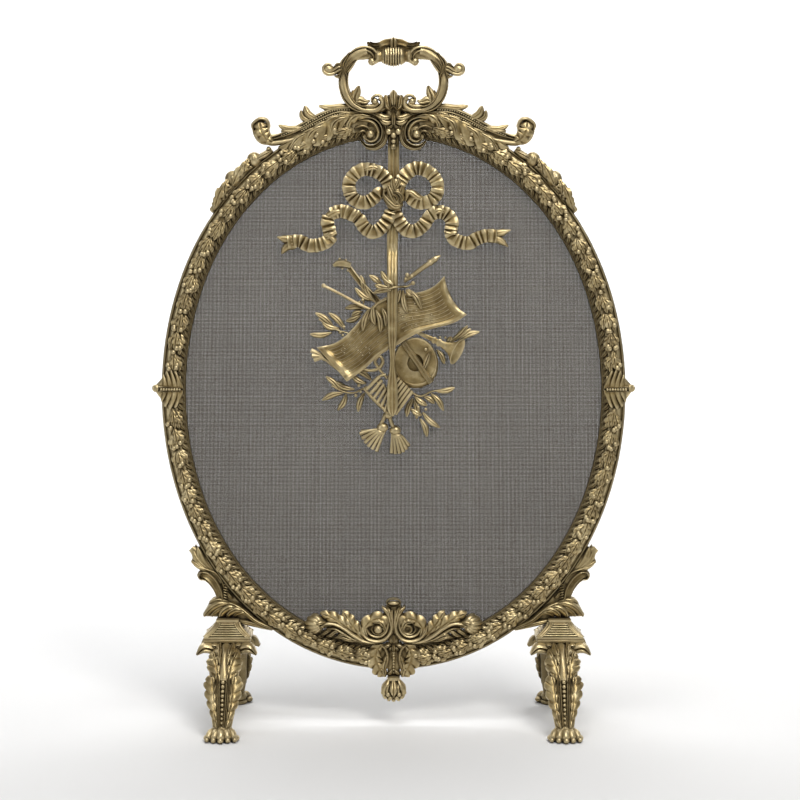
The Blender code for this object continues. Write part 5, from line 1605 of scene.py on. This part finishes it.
SPRAYS = {  # y of the plane they lie on, twig, leaves and berries
    "laurel_spray_top": (
        -11.9, [(-24, 480.5), (-12, 483), (0, 487), (14, 488), (20, 493)],
        [(-14, 488, -28, 500), (-2, 490, -15, 504.5), (-4, 484, -23, 481), (14, 485, 29.5, 463),
         (9, 484, 13.6, 459), (-8, 487, -22, 490), (12, 484, 21, 478), (0, 486, -12, 496), (6, 484, 3, 470)],
        [(13.6, 500.4, 2.6), (18.6, 499, 2.4), (20, 491.4, 2.4), (12, 496, 2.0), (-4, 483, 1.6)],
    ),
    "laurel_spray_left": (
        -2.0, [(-84, 452), (-70, 442), (-52, 436)],
        [(-68, 443, -88, 458.4), (-70, 436.6, -94, 435), (-55, 440, -73, 458.4), (-62, 441, -80, 447)],
        [(-60, 437, 2.2), (-56.4, 443, 1.9), (-57.6, 433.6, 1.7)],
    ),
    "laurel_spray_right": (
        -2.0, [(52, 420), (64, 427), (76, 434)],
        [(62, 427, 80.6, 444.4), (70, 427, 93.6, 437.6), (58, 424, 62, 432.6), (46, 418, 55, 402),
         (72, 432, 84, 441)],
        [(50, 431.5, 1.5), (56, 431, 1.4)],
    ),
    "laurel_spray_lower_left": (
        -2.0, [(-70, 378), (-58, 371.6), (-45, 370), (-31, 377)],
        [(-60, 371.4, -76.6, 388), (-45, 373.6, -67, 382.6), (-57, 370, -81, 361.6), (-54, 369, -63.4, 350.4),
         (-33.6, 370, -41, 348.8), (-32, 380, -48, 390), (-26, 384, -44, 396)],
        [(-40, 378, 2.0), (-43.4, 367, 2.0), (-38, 371, 1.6)],
    ),
    "laurel_spray_lower_right": (
        -2.0, [(16, 372), (28, 366), (40, 371), (50, 373)],
        [(46, 371.6, 66.4, 375.6), (40, 369, 54, 350), (31, 348, 50, 331), (28, 341, 35.6, 321),
         (20, 364, 13, 343), (21, 362, 24, 341), (22, 366, 36, 356), (32, 366, 44, 358), (18, 352, 30, 345)],
        [(26, 354, 1.9), (34.4, 351.6, 1.7), (30.4, 358, 1.5)],
    ),
}


def upper_left_leaves():
    """Leaves behind the sheet's upper left edge, and a sprig that droops over its face."""
    behind = spray(
        [(-36, 462), (-34, 478), (-37, 494)],
        [(-35, 480, -38, 500), (-20, 469, -34, 491), (-33, 464, -55, 463.6), (-38, 456, -54, 449.6),
         (-36, 460, -48, 455), (-24, 472, -44, 486)],
        [(-35.6, 473, 2.1), (-39.4, 469.6, 2.0), (-36.6, 466.4, 1.7)], -2.2,
    )
    over = spray(
        [(-9, 474), (-20, 468), (-26, 460), (-29, 452)],
        [(-28, 463, -35.4, 439), (-21, 462, -15.6, 438), (-24, 466, -22, 446), (-14, 464, -9.6, 444)],
        [], -14.6,
    )
    behind.also(over)
    return behind


def tassels():
    """Two tassels hanging from one knotted cord."""
    clay = Clay()
    y = -3.4
    tube(clay, [(-2, y - 4, 352), (-4, y - 1, 345), (-3, y, 338), (0, y, 331)], [2.4, 2.6, 2.2, 2.2], 14, 10)
    tube(
        clay, [(-5, y - 4, 352), (-9, y - 1, 346), (-12, y, 339), (-14.6, y, 334)], [2.4, 2.6, 2.2, 2.2],
        14, 10,
    )
    ball(clay, (-5.4, y - 2.6, 346.6), 4.6, (1.1, 0.8, 1.2), 14)
    for (x, z), tips in (
        ((-13.6, 331.4), ((-38.6, 324), (-36, 318.6), (-33, 314), (-29, 310), (-24.6, 307), (-20.6, 305))),
        ((0.4, 328), ((-3.6, 303), (-1, 302.4), (3.4, 302.4), (8, 303.8), (12, 306.4), (15.6, 311))),
    ):
        ball(clay, (x + 1.4, y, z), 5.6, (1.15, 0.85, 0.95), 18)
        mx, mz = tips[3]
        ball(clay, (x * 0.74 + mx * 0.26 + 1.4, y, z * 0.74 + mz * 0.26), 5.2, (1.1, 0.7, 0.7), 16)
        ends = smooth(tips, 5)
        for k, (tx, tz) in enumerate(ends):
            side = (k - 2.5) / 2.5
            start = (x + 1.4 + side * 3.2 * (z - tz) / 26, y - 0.6, z - 2)
            depth = y - 1.6 + 1.8 * side * side
            mid = ((start[0] + tx + 1.4) / 2, depth, (start[2] + tz) / 2 + 1)
            tube(clay, [start, mid, (tx + 1.4, depth, tz)], [1.3, 1.9, 2.3], 10, 9)
            if k % 2 == 0:
                tube(clay, [start, (tx + 2.6, y + 1.9, tz + 3)], [1.2, 1.6], 6, 8)
    return clay


def build_trophy(gilt):
    piece("ridged_strap", strap(), gilt, "hanging_strap")
    for side, word in ((-1, "left"), (1, "right")):
        piece(f"ribbon_loop_{word}", bow_loop(side), gilt, f"bow_loop_{word}")
        piece(f"ribbon_tail_{word}", bow_tail(side), gilt, f"bow_tail_{word}")
    piece("ribbon_knot", knot(), gilt, "bow_knot")
    piece("curled_music_sheet", music_sheet(), gilt, "music_sheet")
    piece("stringed_lute", lute(), gilt, "lute")
    piece("flared_trumpet", trumpet(), gilt, "trumpet")
    piece("small_flute", small_flute(), gilt, "flute")
    piece("pipes_of_pan", pipes_of_pan(), gilt, "pan_pipes")
    for node, (y, stem, leaves, berries) in SPRAYS.items():
        piece(f"{node}_cast", spray(stem, leaves, berries, y, arch="top" in node), gilt, node)
    piece("upper_left_leaves", upper_left_leaves(), gilt)
    piece("corded_tassels", tassels(), gilt, "tassels")


# ---------------------------------------------------------------- what stays as CAD, and the studio


def finish_cad_nodes(frame, steel, brass):
    """The small hardware behind the castings keeps its CAD shape, and takes its finish here."""
    for name, obj in frame["nodes"].items():
        if obj.hide_render:
            continue
        brassy = "nut" in name
        obj.data.materials.clear()
        obj.data.materials.append(brass if brassy else steel)
        obj.data.polygons.foreach_set("use_smooth", [True] * len(obj.data.polygons))
        obj.data.set_sharp_from_angle(angle=math.radians(35))


def studio():
    """A pale floor that sweeps up into the backdrop."""
    look = Look("studio_floor", rough=0.9)
    look.feed("Base Color", look.ramp(look.noise(2.0, 2.0), [(0.3, 0.74), (0.7, 0.76)]))
    mesh = bpy.data.meshes.new("floor")
    rows = [(-4.0, 0.0), (0.9, 0.0)]
    rows += [(0.9 + 1.2 * math.sin(t), 1.2 - 1.2 * math.cos(t)) for t in np.linspace(0.1, math.pi / 2, 14)]
    rows.append((2.1, 5.0))
    points = [(x, y, z) for y, z in rows for x in (-7.0, 7.0)]
    faces = [(2 * i, 2 * i + 1, 2 * i + 3, 2 * i + 2) for i in range(len(rows) - 1)]
    mesh.from_pydata(points, [], faces)
    mesh.polygons.foreach_set("use_smooth", [True] * len(mesh.polygons))
    floor = bpy.data.objects.new("floor", mesh)
    bpy.context.scene.collection.objects.link(floor)
    mesh.materials.append(look.material)


def area_light(name, place, target, size, power, colour=(1, 1, 1)):
    """A rectangular light at place, aimed at target; size is its width and height in metres."""
    data = bpy.data.lights.new(name, "AREA")
    data.shape = "RECTANGLE"
    data.size, data.size_y = size
    data.energy = power
    data.color = colour
    light = bpy.data.objects.new(name, data)
    light.location = place
    light.rotation_euler = (Vector(target) - Vector(place)).to_track_quat("-Z", "Y").to_euler()
    bpy.context.scene.collection.objects.link(light)


def lighting():
    """A soft key high on the right, weak fill, and lights that wash the backdrop to white."""
    bpy.context.scene.view_settings.view_transform = "Standard"
    world = bpy.data.worlds.new("studio")
    bpy.context.scene.world = world
    world.use_nodes = True
    world.node_tree.nodes["Background"].inputs[0].default_value = (1.0, 1.0, 1.0, 1)
    world.node_tree.nodes["Background"].inputs[1].default_value = 0.19
    area_light("key", (0.8, -1.9, 2.0), (0, 0, 0.4), (0.7, 0.7), 31, (1.0, 0.98, 0.94))
    area_light("fill", (-1.6, -1.8, 1.0), (0, 0, 0.35), (1.2, 1.4), 9, (0.95, 0.97, 1.0))
    area_light("top", (0.0, -0.7, 2.6), (0, 0, 0.5), (1.0, 0.8), 25)
    area_light("backdrop", (0.0, 1.15, 2.3), (0, 2.4, 1.0), (4.0, 0.8), 80)


def camera():
    """The photograph's view: level with the middle of the frame's upper half, looking slightly down."""
    data = bpy.data.cameras.new("camera")
    data.lens = 85.455
    data.sensor_width = 36
    obj = bpy.data.objects.new("camera", data)
    obj.location = (0.0071, -EYE_FAR * MM, EYE_Z * MM)
    obj.rotation_euler = (math.radians(86.012), 0, 0)
    bpy.context.scene.collection.objects.link(obj)
    bpy.context.scene.camera = obj


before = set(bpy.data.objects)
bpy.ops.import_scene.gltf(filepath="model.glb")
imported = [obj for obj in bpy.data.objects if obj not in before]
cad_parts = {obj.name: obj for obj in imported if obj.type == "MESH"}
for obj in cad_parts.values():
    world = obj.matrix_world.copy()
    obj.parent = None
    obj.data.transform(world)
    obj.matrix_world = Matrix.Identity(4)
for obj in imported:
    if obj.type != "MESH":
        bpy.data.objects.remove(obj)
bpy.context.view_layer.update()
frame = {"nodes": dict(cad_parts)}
OVAL = make_oval()
GAUGE = make_gauge()

# The last colour of each look fills its recesses: grime together with painted shade.
gilt = aged_metal(
    "gilt_bronze", (0.19, 0.13, 0.052), (0.37, 0.278, 0.125), (0.70, 0.585, 0.35), (0.03, 0.018, 0.007),
)
dark = aged_metal(
    "frame_bronze", (0.12, 0.085, 0.036), (0.20, 0.148, 0.067), (0.38, 0.305, 0.162), (0.03, 0.02, 0.01),
    (0.36, 0.55)
)
brown = aged_metal(
    "bracket_bronze", (0.17, 0.12, 0.05), (0.31, 0.236, 0.107), (0.60, 0.49, 0.275), (0.03, 0.018, 0.008)
)
brass = aged_metal(
    "brass_strip", (0.20, 0.15, 0.07), (0.30, 0.23, 0.10), (0.42, 0.33, 0.16), (0.05, 0.04, 0.02),
)
steel = aged_metal(
    "old_steel", (0.10, 0.09, 0.08), (0.17, 0.16, 0.15), (0.30, 0.29, 0.28), (0.05, 0.03, 0.02),
)
wire = wire_metal()

gilt_finish = (gilt, "gilt_bronze")
build_frame(gilt_finish, (dark, "frame_bronze"), (wire, "wire_cloth"), (brass, "brass_strip"))
build_crest(gilt_finish)
build_base(gilt_finish)
# The rear legs get the dark frame bronze as painted shade.
build_legs(gilt_finish, (brown, "frame_bronze"), (dark, "gilt_bronze"))
build_trophy(gilt_finish)
finish_cad_nodes(frame, steel, brass)
studio()
lighting()
camera()
